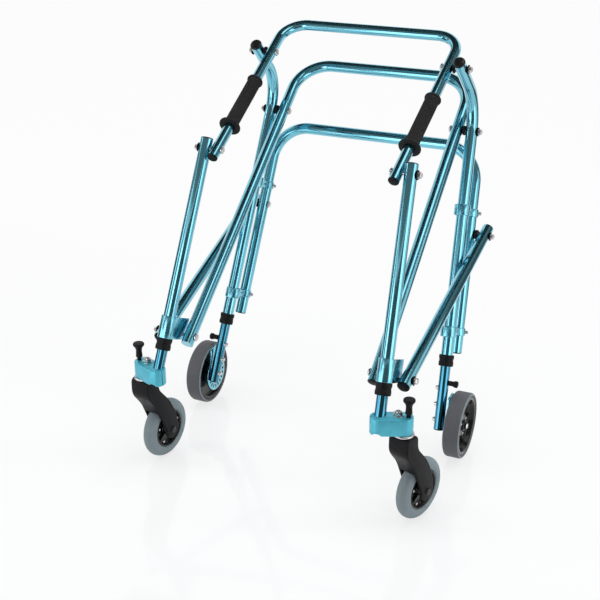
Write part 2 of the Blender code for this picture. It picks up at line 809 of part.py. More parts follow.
def bracket_through_bolt(side):
    """One bolt through the mid bar, both bracket plates and the brace."""
    outer_face = brace_half_low() + TUBE_R + FACE_GAP
    inner_face = MID_HALF - TUBE_R - FACE_GAP
    shank = BRACKET_BOLT_R
    stations = [(inner_face - HEAD_LENGTH, WASHER_R), (inner_face, WASHER_R),
                (inner_face, shank), (outer_face, shank), (outer_face, WASHER_R),
                (outer_face + WASHER_LENGTH, WASHER_R), (outer_face + WASHER_LENGTH, NUT_R),
                (outer_face + NUT_LENGTH * 0.7, NUT_R), (outer_face + NUT_LENGTH, NUT_R * 0.5)]
    return bolt_along_x(side_name(side) + "_bracket_bolt", side, centred(bracket_bolt()),
                        stations, steel())


# Casters

def front_leg_tube(side):
    """The telescopic tube of the front leg, the caster block on it and the lock knob."""
    tag = side_name(side)
    line = front_line(side)
    low, high = centred(line.at(FRONT_INNER_END_Z)), centred(line.at(FRONT_INNER_TOP_Z))
    inner = tube(tag + "_front_leg_tube", [low, high], INNER_R, anodised(), (False, False))
    block_z = BLOCK_TOP_Z - BLOCK_HEIGHT / 2
    leg = centred(line.at(block_z))
    stem = centred(stem_point(side, block_z))
    outline = hull_round((leg.x, leg.y), (stem.x, stem.y), BLOCK_ROUND)
    block = slab(tag + "_caster_block", outline, BLOCK_HEIGHT,
                 Matrix.Translation((0, 0, block_z)), satin_teal())
    top = line.direction * BLOCK_HEIGHT
    floor = low - line.direction * GAP
    bore = rod_cutter(tag + "_block_leg_bore", floor, leg + top * 1.5, INNER_R + 1.6 * GAP,
                      TUBE_SIDES)
    boolean(block, bore)
    stem_hole = rod_cutter(tag + "_block_stem_bore", stem - Vector((0, 0, BLOCK_HEIGHT)),
                           stem + Vector((0, 0, STEM_IN_BLOCK + STEM_CLEAR - BLOCK_HEIGHT / 2)),
                           STEM_R + STEM_CLEAR)
    boolean(block, stem_hole)
    out = stem + Vector((side * KNOB_OUT, 0, 0))
    depth = KNOB_PIN_IN_BLOCK + KNOB_TRAVEL + GAP
    top_z = BLOCK_TOP_Z - block_z
    knob_hole = rod_cutter(tag + "_block_knob_bore", out + Vector((0, 0, top_z - depth)),
                           out + Vector((0, 0, BLOCK_HEIGHT)), KNOB_PIN_R + STEM_CLEAR)
    boolean(block, knob_hole)
    return [inner, block]


def swivel_lock_knob(side):
    frame = Matrix.Translation(centred(stem_point(side, BLOCK_TOP_Z))
                               + Vector((side * KNOB_OUT, 0, 0)))
    head = KNOB_TOP_Z - BLOCK_TOP_Z
    rest = KNOB_TRAVEL + GAP
    profile = [(0.0, head), (KNOB_HEAD_R - 0.0015, head), (KNOB_HEAD_R, head - 0.0015),
               (KNOB_HEAD_R, head - 0.0060), (KNOB_NECK_R + 0.0015, head - 0.0140),
               (KNOB_NECK_R, head - 0.0170), (KNOB_NECK_R, rest), (KNOB_PIN_R, rest),
               (KNOB_PIN_R, -KNOB_PIN_IN_BLOCK), (0.0, -KNOB_PIN_IN_BLOCK)]
    return turned(side_name(side) + "_swivel_lock_knob", profile, frame, black_plastic(), 12)


def caster_frame(side, height=0.0):
    """At the stem, with +Y along the trail and +Z up."""
    turn = Matrix.Rotation(-swivel(side), 4, "Z")
    return Matrix.Translation(centred(stem_point(side, height))) @ turn


def caster_fork(side):
    """Crown, arms and stem in one piece."""
    tag = side_name(side)
    crown_z = BLOCK_TOP_Z - BLOCK_HEIGHT - CROWN_GAP
    rise = crown_z - FRONT_WHEEL_R
    outline = [(-FORK_CROWN_FRONT, crown_z),
               (-FORK_CROWN_FRONT, FRONT_WHEEL_R + FORK_LEAN_START * rise)]
    outline += [(TRAIL * back, FRONT_WHEEL_R + rise * up) for back, up in FORK_FRONT]
    outline += arc((TRAIL, FRONT_WHEEL_R), FORK_ARM_R, 160, 380, 12)
    outline += [(TRAIL * back, FRONT_WHEEL_R + rise * up) for back, up in FORK_BACK]
    outline.append((FORK_CROWN_REAR, crown_z))
    upright = caster_frame(side) @ Matrix(((0, 0, 1, 0), (1, 0, 0, 0), (0, 1, 0, 0), (0, 0, 0, 1)))
    fork = slab(tag + "_caster_fork", outline, 2 * FORK_HALF, upright, black_plastic())
    frame = caster_frame(side)
    axle = frame @ Vector((0, TRAIL, FRONT_WHEEL_R))
    across = frame.col[0].xyz
    half_slot = FRONT_WHEEL_WIDTH / 2 + WHEEL_CLEAR
    slot = rod_cutter(tag + "_fork_slot", axle - across * half_slot, axle + across * half_slot,
                      FRONT_WHEEL_R + WHEEL_CLEAR, 24)
    boolean(fork, slot)
    hole = rod_cutter(tag + "_fork_axle_bore", axle - across * 0.05, axle + across * 0.05,
                      AXLE_R + AXLE_CLEAR)
    boolean(fork, hole)
    base = centred(stem_point(side, crown_z - 0.010))
    tip = centred(stem_point(side, BLOCK_TOP_Z - BLOCK_HEIGHT + STEM_IN_BLOCK))
    stem = rod_cutter(tag + "_fork_stem", base, tip, STEM_R)
    boolean(fork, stem, "UNION")
    washer_low = centred(stem_point(side, crown_z - 0.001))
    washer_top = centred(stem_point(side, crown_z + CROWN_GAP - GAP))
    washer = rod_cutter(tag + "_fork_washer", washer_low, washer_top, STEM_R * 2, 16)
    boolean(fork, washer, "UNION")
    return fork


def wheel_frame(centre, across):
    return axis_frame(centre, across, Vector((0, 1, 0)))


def tyre(name, outer, inner, width, frame, finish_material):
    """A tread with rounded shoulders, turned about the axle."""
    half = width / 2
    shoulder = (outer - inner) * 0.7
    profile = [(inner, half * 0.86), (inner + 0.002, half * 0.98), (outer - shoulder * 0.6, half),
               (outer - shoulder * 0.22, half * 0.88), (outer, half * 0.5), (outer, -half * 0.5),
               (outer - shoulder * 0.22, -half * 0.88), (outer - shoulder * 0.6, -half),
               (inner + 0.002, -half * 0.98), (inner, -half * 0.86)]
    return turned(name, profile, frame, finish_material, WHEEL_STEPS, closed=True)


def front_wheel(side):
    tag = side_name(side)
    frame_stem = caster_frame(side)
    centre = frame_stem @ Vector((0, TRAIL, FRONT_WHEEL_R))
    across = frame_stem.col[0].xyz
    frame = wheel_frame(centre, across)
    rubber = tyre(tag + "_front_tyre", FRONT_WHEEL_R, FRONT_RIM_R, FRONT_WHEEL_WIDTH, frame,
                  front_tyre_rubber())
    rim = FRONT_RIM_R - GAP * 1.5
    half = FRONT_WHEEL_WIDTH / 2 * 0.86
    bore = AXLE_R + AXLE_CLEAR
    profile = [(bore, half), (0.012, half), (0.014, 0.004), (rim - 0.006, 0.004),
               (rim - 0.004, half), (rim, half), (rim, -half), (rim - 0.004, -half),
               (rim - 0.006, -0.004), (0.014, -0.004), (0.012, -half), (bore, -half)]
    hub = turned(tag + "_front_hub", profile, frame, black_plastic(), WHEEL_STEPS,
                 closed=True)
    return [rubber, hub]


def front_axle(side):
    frame_stem = caster_frame(side)
    centre = frame_stem @ Vector((0, TRAIL, FRONT_WHEEL_R))
    frame = wheel_frame(centre, frame_stem.col[0].xyz)
    reach = FORK_HALF + GAP
    head = reach + AXLE_HEAD_LENGTH
    profile = [(0.0, head), (AXLE_HEAD_R, head), (AXLE_HEAD_R, reach), (AXLE_R, reach),
               (AXLE_R, -reach), (AXLE_HEAD_R, -reach), (AXLE_HEAD_R, -head), (0.0, -head)]
    return turned(side_name(side) + "_front_axle", profile, frame, steel(), 12)


# Rear legs and wheels

def rear_leg_tube(side):
    """The telescopic tube of the rear leg with its hole for the ratchet knob's pin."""
    name = side_name(side) + "_rear_leg_tube"
    line = rear_line(side)
    ends = [centred(line.at(REAR_INNER_END_Z)), centred(line.at(REAR_INNER_TOP_Z))]
    inner = tube(name, ends, INNER_R, anodised(), (False, False))
    point = centred(line.at(RATCHET_KNOB_Z))
    outward = point + Vector((side * 0.03, 0, 0))
    boolean(inner, rod_cutter(name + "_pin_hole", point, outward, RATCHET_PIN_R + 2 * GAP))
    return inner


def ratchet_plate(side):
    """A rounded plate on the leg's outboard side that carries the axle."""
    name = side_name(side) + "_ratchet_plate"
    axle = centred(rear_axle_point(side))
    upper = centred(rear_line(side).at(RATCHET_KNOB_Z - 0.034))
    frame = Matrix(((0, 0, 1, 0), (1, 0, 0, 0), (0, 1, 0, 0), (0, 0, 0, 1)))
    frame.translation = Vector((side * (plate_face() + PLATE_THICK / 2), 0, 0))
    outline = hull_round((axle.y, axle.z), (upper.y + 0.008, upper.z - 0.012), PLATE_R, 10)
    plate = slab(name, outline, PLATE_THICK, frame, satin_teal())
    cross_hole(plate, name + "_axle_hole", axle, AXLE_R + AXLE_CLEAR)
    return plate


def rear_axle(side):
    name = side_name(side) + "_rear_axle"
    hub_face = REAR_WHEEL_X + REAR_WHEEL_WIDTH * 0.34
    stations = [(plate_face() - GAP - 0.0120, AXLE_HEAD_R), (plate_face() - GAP, AXLE_HEAD_R),
                (plate_face() - GAP, AXLE_R), (hub_face + GAP, AXLE_R), (hub_face + GAP, AXLE_HEAD_R),
                (hub_face + GAP + AXLE_HEAD_LENGTH, AXLE_HEAD_R)]
    return bolt_along_x(name, side, centred(rear_axle_point(side)), stations, steel())


def rear_wheel(side):
    tag = side_name(side)
    frame = wheel_frame(centred(rear_axle_point(side)), Vector((side, 0, 0)))
    rubber = tyre(tag + "_rear_tyre", REAR_WHEEL_R, REAR_RIM_R, REAR_WHEEL_WIDTH, frame,
                  rear_tyre_rubber())
    rim = REAR_RIM_R - GAP * 1.5
    half = REAR_WHEEL_WIDTH / 2 * 0.86
    hub_face = REAR_WHEEL_WIDTH * 0.34
    inboard = plate_face() + PLATE_THICK + 3 * GAP - REAR_WHEEL_X
    bore = AXLE_R + AXLE_CLEAR
    profile = [(bore, hub_face), (0.018, hub_face), (0.021, 0.004), (rim - 0.009, 0.004),
               (rim - 0.004, half), (rim, half), (rim, -half), (rim - 0.005, -half),
               (rim - 0.009, -0.006), (0.024, -0.006), (0.022, inboard), (bore, inboard)]
    hub = turned(tag + "_rear_hub", profile, frame, black_plastic(), WHEEL_STEPS,
                 closed=True)
    return [rubber, hub]


def ratchet_knob(side):
    """A pull knob on the outboard side of the leg that lifts the ratchet's pin."""
    name = side_name(side) + "_ratchet_knob"
    line = rear_line(side)
    point = centred(line.at(RATCHET_KNOB_Z))
    seat = abs(point.x) + INNER_R + GAP
    stations = [(seat - 0.0060, RATCHET_PIN_R), (seat, RATCHET_PIN_R),
                (seat, RATCHET_KNOB_R * 0.75), (seat + RATCHET_KNOB_LENGTH * 0.5, RATCHET_KNOB_R * 0.75),
                (seat + RATCHET_KNOB_LENGTH * 0.6, RATCHET_KNOB_R),
                (seat + RATCHET_KNOB_LENGTH, RATCHET_KNOB_R)]
    return bolt_along_x(name, side, point, stations, black_plastic(), 12)


def build():
    fresh_scene()
    handle = pivot_empty("handlebar_fold", centred(handle_pivot()))
    carry(handle, [*handlebar(), leg_bolt(-1), leg_bolt(1)])
    carry(pivot_empty("mid_bar_fold", centred(mid_pivot())), mid_bar())
    carry(pivot_empty("lower_bar_slide", centred(brace_pivot())),
          [*lower_bar(), brace_bolt(-1), brace_bolt(1)])
    for side in (-1, 1):
        tag = side_name(side)
        rear_upright(side)
        handle_bolt(side)
        mid_bolt(side)
        carry(pivot_empty(tag + "_brace_fold", centred(brace_pivot())), brace(side))
        carry(pivot_empty(tag + "_leg_fold", centred(leg_pivot())),
              [*front_leg(side), bracket_through_bolt(side)])
        carry(pivot_empty(tag + "_front_leg_slide", centred(front_line(side).at(FRONT_TUBE_END_Z))),
              front_leg_tube(side))
        swivel_lock_knob(side)
        carry(pivot_empty(tag + "_caster_swivel", centred(stem_point(side, BLOCK_TOP_Z))),
              [caster_fork(side), front_axle(side)])
        front_wheel(side)
        carry(pivot_empty(tag + "_rear_leg_slide", centred(rear_line(side).at(REAR_TUBE_END_Z))),
              [rear_leg_tube(side), ratchet_plate(side), rear_axle(side)])
        ratchet_knob(side)
        rear_wheel(side)


build()
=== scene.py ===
"""A folding reverse walker: teal tubes, rubber grips, front casters and ratchet rear wheels.

Lengths are in metres. +Y runs from the front casters to the rear wheels, +X to the right
and +Z up. Stations along Y are measured from the line through the two caster stems.
"""

import math

import bmesh
import bpy
from bpy.props import FloatProperty, FloatVectorProperty, IntProperty, PointerProperty
from mathutils import Matrix, Vector


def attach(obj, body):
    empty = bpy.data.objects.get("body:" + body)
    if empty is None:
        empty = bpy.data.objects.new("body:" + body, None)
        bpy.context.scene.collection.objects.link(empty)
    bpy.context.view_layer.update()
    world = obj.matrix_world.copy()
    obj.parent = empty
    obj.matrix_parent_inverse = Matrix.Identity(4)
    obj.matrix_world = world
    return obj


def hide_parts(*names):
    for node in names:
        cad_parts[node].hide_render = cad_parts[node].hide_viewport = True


bl_info = {
    "name": "Folding walker",
    "version": (1, 0, 0),
    "blender": (4, 5, 0),
    "location": "View3D > Sidebar > Walker",
    "description": "Dresses a folding walker's frame piece by piece",
    "category": "Add Mesh",
}

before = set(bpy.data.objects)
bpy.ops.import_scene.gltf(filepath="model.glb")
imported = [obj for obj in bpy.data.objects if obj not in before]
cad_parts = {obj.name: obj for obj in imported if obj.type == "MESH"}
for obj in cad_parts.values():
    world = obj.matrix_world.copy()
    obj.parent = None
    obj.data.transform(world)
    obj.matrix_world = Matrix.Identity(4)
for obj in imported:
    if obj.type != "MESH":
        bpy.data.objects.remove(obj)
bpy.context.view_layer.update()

SIDES = (-1, 1)
SHARED = ("rear_frame", "handlebar", "mid_bar", "lower_bar")

# Rear upright and front leg: foot of the axis on the floor, splay inwards and lean back
REAR_FOOT = (0.2732, 0.2490)
REAR_SPLAY = math.radians(3.474)
REAR_LEAN = math.radians(23.0)
REAR_TOP_ANGLE = math.radians(138.8)
FRONT_FOOT = (0.2490, -0.1172)
FRONT_SPLAY = math.radians(2.902)
FRONT_LEAN = math.radians(24.56)

# Heights and reaches on the frame
HANDLE_PIVOT = (0.4520, 0.7960)
LEG_PIVOT_Z = 0.6530
MID_PIVOT_Z = 0.6510
BRACE_PIVOT_Z = 0.4300
BRACKET_BOLT_UP = 0.0090
BRACKET_BOLT_BEHIND = 0.0460
HANDLE_HALF_REAR = 0.1960
HANDLE_HALF_FRONT = 0.1900
HANDLE_REACH = 0.0980
HANDLE_TAIL = 0.0230
MID_HALF = 0.2020
MID_REACH = 0.1370
MID_TAIL = 0.0190
LOWER_PITCH = 0.0700
REAR_TUBE_END_Z = 0.216
FRONT_TUBE_END_Z = 0.300
UPPER_CLAMP_Z = 0.4980
LOWER_CLAMP_Z = 0.2610
GAP = 0.0003
FACE_GAP = 0.0008

# Bends of the tubes, what stands past their pivots, and the places of their ends
HANDLE_BEND, MID_BEND, LOWER_BEND, UPRIGHT_BEND = 0.052, 0.075, 0.080, 0.090
UPRIGHT_TAIL, LEG_TAIL, BRACE_TAILS = 0.024, 0.019, (0.020, 0.025)
LOWER_ENDS = (0.192, 0.600)
FRONT_INNER = (0.216, 0.500)
REAR_INNER = (0.070, 0.420)
GRIP_ENDS = (0.094, 0.240)
GRIP_RIBS, GRIP_PITCH = 41, 0.0031

# Brackets and clamps: walls, the brackets' size and the ends of their cutters, the braces'
# distances from their neighbours, the clamps' room for the splay, and the half-widths of
# ring, hoop and strap
BRACKET_WALL, CLAMP_WALL = 0.0030, 0.0022
BRACKET_HEIGHT, BRACKET_REACH, BRACKET_PIN_Z = 0.045, 0.0585, 0.338
BRACKET_CUT = (-0.010, 0.060)
BRACE_ROOM, BRACE_SPACER = 0.0011, 0.0075
CLAMP_ROOM = 0.0036
RING_HALF, HOOP_HALF, STRAP_HALF = 0.0115, 0.0085, 0.0062

# From an outline's plane to the plane of Y and Z
ON_EDGE = Matrix(((0, 0, 1, 0), (1, 0, 0, 0), (0, 1, 0, 0), (0, 0, 0, 1)))

# Casters and rear wheels
STEM = (0.2800, 0.0060)
BLOCK_TOP_Z = 0.2460
BLOCK_HEIGHT = 0.0340
BLOCK_ROUND = 0.0178
STEM_NUT_IN, SWIVEL_KNOB_OUT = 0.0115, 0.0085
CROWN_Z = 0.2070
TRAIL = 0.0570
SWIVEL = {-1: math.radians(8.0), 1: math.radians(17.5)}
FORK_HALF = 0.0225
FORK_CROWN = (-0.0165, 0.0180)
FORK_LEAN_START = 0.74
FORK_FRONT = ((0.17, 0.50),)
FORK_BACK = ((1.25, 0.25), (0.92, 0.51), (0.34, 0.78))
FRONT_RIM, REAR_RIM = 0.0405, 0.0628
REAR_WHEEL_X = 0.3045
PLATE_R = 0.0405
AXLE_BEHIND = 0.0320
PLATE_THICK = 0.0050
PLATE_ARM = (0.022, 0.014)
PLATE_SCREWS_Z = (0.150, 0.118, 0.088)
RATCHET_KNOB_Z = 0.1620

# The camera, with its angles in degrees down and round, and the heading towards it
CAMERA = (0.8391, -2.0332, 1.2786)
CAMERA_DOWN, CAMERA_ROUND = 23.80, 23.975
CAMERA_HEADING = math.degrees(math.atan2(CAMERA[1], CAMERA[0]))

# The floor's half-width and height
FLOOR, FLOOR_Z = 14.0, -0.0004

# Studio cards: first and last angle round from the camera, bottom, top and brightness,
# then for those overhead left, front, right, rear, height and brightness
CARD_REACH = 1.3
WALL_CARDS = ((-116, -76, 0.0, 1.0, 0.14), (-76, -68, 0.0, 0.95, 2.6), (-68, -46, 0.0, 0.50, 2.0),
              (-68, -46, 0.51, 0.95, 0.35), (-46, -24, 0.0, 0.95, 2.6), (-24, 36, 0.0, 1.0, 0.12),
              (36, 64, 0.0, 1.05, 2.2), (64, 96, 0.0, 1.05, 0.9), (96, 118, 0.0, 1.05, 0.12),
              (-116, 118, 1.06, 2.2, 0.22))
CEILING_CARDS = ((-1.7, -1.7, 1.7, 1.7, 2.2, 0.03), (0.40, -0.80, 1.30, 0.60, 2.19, 1.7))


def a_length(name, description, default, low):
    return FloatProperty(name=name, description=description, default=default, min=low,
                         unit="LENGTH")


def a_colour(name, description, *default):
    return FloatVectorProperty(name=name, description=description, subtype="COLOR",
                               default=default, min=0.0, max=1.0)


class WalkerSizes(bpy.types.PropertyGroup):
    """Sizes of the walker's visible pieces."""

    tube_radius: a_length("Tube radius", "Outer radius of the frame tubes", 0.0127, 0.005)
    inner_radius: a_length(
        "Inner tube radius", "Outer radius of the telescopic leg tubes", 0.0110, 0.004)
    handle_radius: a_length(
        "Handlebar radius", "Outer radius of the handlebar tube", 0.0111, 0.005)
    grip_radius: a_length("Grip radius", "Outer radius of the rubber grips", 0.0140, 0.012)
    front_wheel_radius: a_length("Front wheel radius", "Radius of the caster tyres", 0.0635, 0.03)
    front_wheel_width: a_length("Front wheel width", "Width of the caster tyres", 0.0290, 0.01)
    rear_wheel_radius: a_length("Rear wheel radius", "Radius of the rear tyres", 0.0710, 0.03)
    rear_wheel_width: a_length("Rear wheel width", "Width of the rear tyres", 0.0360, 0.01)
    bolt_radius: a_length("Bolt radius", "Radius of the pivot bolts' shanks", 0.0040, 0.002)
    tube_sides: IntProperty(
        name="Tube sides", description="Faces round each tube", default=40, min=8)
    bend_steps: IntProperty(
        name="Bend steps", description="Sections in each tube bend", default=20, min=3)


class WalkerFinishes(bpy.types.PropertyGroup):
    """Colours and gloss of the walker's materials."""

    anodised: a_colour(
        "Anodised tube", "Colour of the polished anodised tubes", 0.190, 0.560, 0.690)
    inner: a_colour("Inner tube", "Colour of the telescopic leg tubes", 0.045, 0.270, 0.400)
    satin: a_colour("Satin block", "Colour of the caster blocks", 0.090, 0.500, 0.640)
    plastic: a_colour(
        "Black plastic", "Colour of forks, knobs, plugs and collars", 0.008, 0.008, 0.009)
    steel: a_colour("Plated steel", "Colour of nuts, bolts and axles", 0.660, 0.660, 0.670)
    grip: a_colour("Grip rubber", "Colour of the hand grips", 0.011, 0.0105, 0.0105)
    front_tyre: a_colour("Front tyre", "Colour of the caster tyres", 0.190, 0.240, 0.260)
    rear_tyre: a_colour("Rear tyre", "Colour of the rear tyres", 0.085, 0.085, 0.095)
    anodised_roughness: FloatProperty(
        name="Tube roughness", description="Roughness of the polished tubes",
        default=0.12, min=0.0, max=1.0)


class WalkerStage(bpy.types.PropertyGroup):
    """Camera, floor and lamps."""

    lens: FloatProperty(
        name="Lens", description="Focal length of the camera, in millimetres",
        default=67.3, min=10.0)
    floor: a_colour("Floor", "Colour of the floor", 0.86, 0.865, 0.87)
    lamp_power: FloatProperty(
        name="Lamp power", description="Power of the main lamp, in watts",
        default=42.0, min=0.0)
    sky: FloatProperty(
        name="Sky", description="Strength of the even light from all round",
        default=0.55, min=0.0)


def sizes():
    return bpy.context.scene.walker_sizes


def finishes():
    return bpy.context.scene.walker_finishes


# Axes and points of the frame

class Axis:
    """A leg's axis, read at any height."""

    def __init__(self, side, foot, splay, lean, behind=0.0):
        self.foot = Vector((side * foot[0], foot[1] + behind, 0.0))
        self.slope = Vector((-side * math.tan(splay), math.tan(lean), 1.0))
        self.direction = self.slope.normalized()

    def at(self, height):
        return self.foot + self.slope * height


def rear_axis(side):
    return Axis(side, REAR_FOOT, REAR_SPLAY, REAR_LEAN)


def front_axis(side):
    return Axis(side, FRONT_FOOT, FRONT_SPLAY, FRONT_LEAN)


def lower_axis(side):
    return Axis(side, REAR_FOOT, REAR_SPLAY, REAR_LEAN, LOWER_PITCH / math.cos(REAR_LEAN))


def on_middle(point):
    return Vector((0.0, point.y, point.z))


def handle_pivot():
    return Vector((0.0, *HANDLE_PIVOT))


def leg_pivot():
    return on_middle(front_axis(1).at(LEG_PIVOT_Z))


def mid_pivot():
    return on_middle(rear_axis(1).at(MID_PIVOT_Z))


def brace_pivot():
    return on_middle(lower_axis(1).at(BRACE_PIVOT_Z))


def bracket_bolt():
    point = on_middle(front_axis(1).at(FRONT_TUBE_END_Z + BRACKET_BOLT_UP))
    back = Vector((0.0, math.cos(FRONT_LEAN), -math.sin(FRONT_LEAN)))
    return point + back * BRACKET_BOLT_BEHIND


def depth_middle():
    """Station under the middle of the walker's depth."""
    reach = (mid_pivot() - bracket_bolt()).normalized() * MID_REACH
    back = mid_pivot().y + reach.y + sizes().tube_radius
    front = front_axis(1).at(BLOCK_TOP_Z - BLOCK_HEIGHT / 2).y - BLOCK_ROUND
    return (front + back) / 2


def placed(point):
    """From stations to the walker's own frame."""
    return Vector((point[0], point[1] - depth_middle(), point[2]))


def stem_point(side, height):
    return placed((side * STEM[0], STEM[1], height))


def rear_axle_point(side):
    radius = sizes().rear_wheel_radius
    station = rear_axis(side).at(radius).y + AXLE_BEHIND / math.cos(REAR_LEAN)
    return placed((side * REAR_WHEEL_X, station, radius))


def plate_face():
    """Distance of the ratchet plates' inboard faces from the middle plane."""
    return rear_axis(1).at(REAR_INNER[0]).x + sizes().inner_radius + GAP


def place_on(origin, up, across=Vector((1, 0, 0))):
    """A frame with Z along up and X as near across as it can be."""
    up = up.normalized()
    left = up.cross(across).normalized()
    right = left.cross(up)
    matrix = Matrix((right, left, up)).transposed().to_4x4()
    matrix.translation = origin
    return matrix


def along_x(side, point, out=0.0):
    """A frame whose Z points outboard, its origin this far from the middle plane."""
    return place_on(Vector((side * out, point.y, point.z)), Vector((side, 0, 0)), Vector((0, 1, 0)))


def caster_place(side):
    """Under the stem on the floor, with Y along the trail."""
    return Matrix.Translation(stem_point(side, 0.0)) @ Matrix.Rotation(-SWIVEL[side], 4, "Z")


def of_side(side, name):
    """The name with left or right before it, but not on a body that both sides share."""
    return name if name in SHARED else ("left_" if side < 0 else "right_") + name


def mm(*numbers):
    """Pairs in metres from a row of millimetres."""
    return [(first / 1000, second / 1000) for first, second in zip(numbers[::2], numbers[1::2])]


def raised(place, height):
    return place @ Matrix.Translation((0, 0, height))


# Node groups and materials

def wire(tree, *links):
    """Links from a node's output to another node's input."""
    for source, output, target, entry in links:
        tree.links.new(source.outputs[output], target.inputs[entry])


def linked(name, data):
    """A new object in the scene."""
    made = bpy.data.objects.new(name, data)
    bpy.context.scene.collection.objects.link(made)
    return made


def new_node(tree, kind, **values):
    """A node with some of its inputs set; an underscore in a name stands for a space."""
    node = tree.nodes.new(kind)
    for label, value in values.items():
        node.inputs[label.replace("_", " ")].default_value = value
    return node


def math_node(tree, operation, *values):
    """A Math node whose inputs are sockets or numbers."""
    node = tree.nodes.new("ShaderNodeMath")
    node.operation = operation
    for slot, value in zip(node.inputs, values):
        if isinstance(value, (int, float)):
            slot.default_value = value
        else:
            tree.links.new(value, slot)
    return node


def new_group(name, output, **inputs):
    """A shader group with a vector input, its float inputs and one float output."""
    group = bpy.data.node_groups.new(name, "ShaderNodeTree")
    group.interface.new_socket("Vector", in_out="INPUT", socket_type="NodeSocketVector")
    for label, value in inputs.items():
        socket = group.interface.new_socket(label, in_out="INPUT", socket_type="NodeSocketFloat")
        socket.default_value = value
    group.interface.new_socket(output, in_out="OUTPUT", socket_type="NodeSocketFloat")
    return group, group.nodes.new("NodeGroupInput"), group.nodes.new("NodeGroupOutput")


def mottle_group():
    """Soft cloudy variation, from 0 to 1."""
    group, start, end = new_group("mottle", "Mask", Scale=20.0)
    noise = new_node(group, "ShaderNodeTexNoise", Detail=4.0)
    ramp = new_node(group, "ShaderNodeMapRange", From_Min=0.35, From_Max=0.65)
    wire(group, (start, "Vector", noise, "Vector"), (start, "Scale", noise, "Scale"),
         (noise, "Fac", ramp, "Value"), (ramp, "Result", end, "Mask"))


def drawn_lines_group():
    """Fine lines left along a drawn tube, read from its own map of turn and length."""
    group, start, end = new_group("drawn_lines", "Lines", Across=160.0, Along=3.0)
    split = group.nodes.new("ShaderNodeSeparateXYZ")
    join = group.nodes.new("ShaderNodeCombineXYZ")
    noise = new_node(group, "ShaderNodeTexNoise", Scale=1.0, Detail=2.0)
    for axis, stretch in (("X", "Across"), ("Y", "Along")):
        longer = math_node(group, "MULTIPLY", split.outputs[axis], start.outputs[stretch])
        wire(group, (longer, 0, join, axis))
    wire(group, (start, "Vector", split, 0), (join, 0, noise, "Vector"),
         (noise, "Fac", end, "Lines"))


def grain_group():
    """The fine pimpled grain of a moulded surface, as a height."""
    group, start, end = new_group("moulded_grain", "Height", Scale=900.0)
    cells = group.nodes.new("ShaderNodeTexVoronoi")
    cells.feature = "SMOOTH_F1"
    wire(group, (start, "Vector", cells, "Vector"), (start, "Scale", cells, "Scale"),
         (cells, "Distance", end, "Height"))


def scuff_group():
    """Short scuffs and specks of dust on rubber, from 0 to 1."""
    group, start, end = new_group("scuffs", "Mask", Amount=0.3)
    noise = new_node(group, "ShaderNodeTexNoise", Scale=45.0, Detail=6.0, Roughness=0.7)
    ramp = new_node(group, "ShaderNodeMapRange", From_Min=0.52, From_Max=0.78)
    amount = math_node(group, "MULTIPLY", ramp.outputs["Result"], start.outputs["Amount"])
    wire(group, (start, "Vector", noise, "Vector"), (noise, "Fac", ramp, "Value"),
         (amount, 0, end, "Mask"))


class Finish:
    """A material under construction: its tree, its shader and its coordinates."""

    def __init__(self, name, **values):
        material = bpy.data.materials.new(name)
        material.use_nodes = True
        self.tree = material.node_tree
        self.shader = self.tree.nodes["Principled BSDF"]
        for label, value in values.items():
            self.shader.inputs[label.replace("_", " ")].default_value = value
        where = self.tree.nodes.new("ShaderNodeTexCoord")
        self.position = where.outputs["Object"]
        self.map = where.outputs["UV"]

    def group(self, name, vector, amount=None):
        """What the named group gives, with its first setting changed if there is an amount."""
        node = self.tree.nodes.new("ShaderNodeGroup")
        node.node_tree = bpy.data.node_groups[name]
        if amount is not None:
            node.inputs[1].default_value = amount
        self.tree.links.new(vector, node.inputs["Vector"])
        return node.outputs[0]

    def colour(self, base, factor, mask):
        """Base Color between a colour and its lighter or darker tone, by a mask."""
        other = [min(1.0, channel * factor) for channel in base]
        mix = self.tree.nodes.new("ShaderNodeMix")
        mix.data_type = "RGBA"
        mix.inputs["A"].default_value = (*base, 1.0)
        mix.inputs["B"].default_value = (*other, 1.0)
        self.tree.links.new(mask, mix.inputs["Factor"])
        wire(self.tree, (mix, "Result", self.shader, "Base Color"))

    def rough(self, base, spread, mask):
        spread = math_node(self.tree, "MULTIPLY_ADD", mask, spread, base)
        wire(self.tree, (spread, 0, self.shader, "Roughness"))

    def bump(self, height, strength, distance):
        node = new_node(self.tree, "ShaderNodeBump", Strength=strength, Distance=distance)
        self.tree.links.new(height, node.inputs["Height"])
        wire(self.tree, (node, "Normal", self.shader, "Normal"))


TUBE = "polished_anodised_tube"
INNER = "deep_anodised_tube"
POLISHED = "polished_anodised_block"
SATIN = "satin_anodised_block"
PLASTIC = "moulded_black_plastic"
GLOSS = "smooth_black_plastic"
STEEL = "plated_steel"
GRIP = "ribbed_grip_rubber"
FRONT_TREAD = "grey_caster_tyre"
REAR_TREAD = "dark_rear_tyre"
GLOSS_DARKER = 0.7


def make_anodised(name, base):
    finish = Finish(name, Metallic=1.0, Coat_Weight=0.6, Coat_Roughness=0.04)
    lines = finish.group("drawn_lines", finish.map)
    finish.colour(base, 0.86, finish.group("mottle", finish.position, 9.0))
    finish.rough(finishes().anodised_roughness - 0.03, 0.06, lines)
    finish.bump(lines, 0.008, 0.0002)


def make_worn(name, base, tone, mask, rough, grain=None, **values):
    """A material whose colour and gloss follow a mask, with a moulded grain on some."""
    finish = Finish(name, **values)
    worn = finish.group(mask[0], finish.position, mask[1])
    finish.colour(base, tone, worn)
    finish.rough(*rough, worn)
    if grain:
        scale, strength, distance = grain
        finish.bump(finish.group("moulded_grain", finish.position, scale), strength, distance)


def named(material):
    return bpy.data.materials[material]


# Geometry Nodes

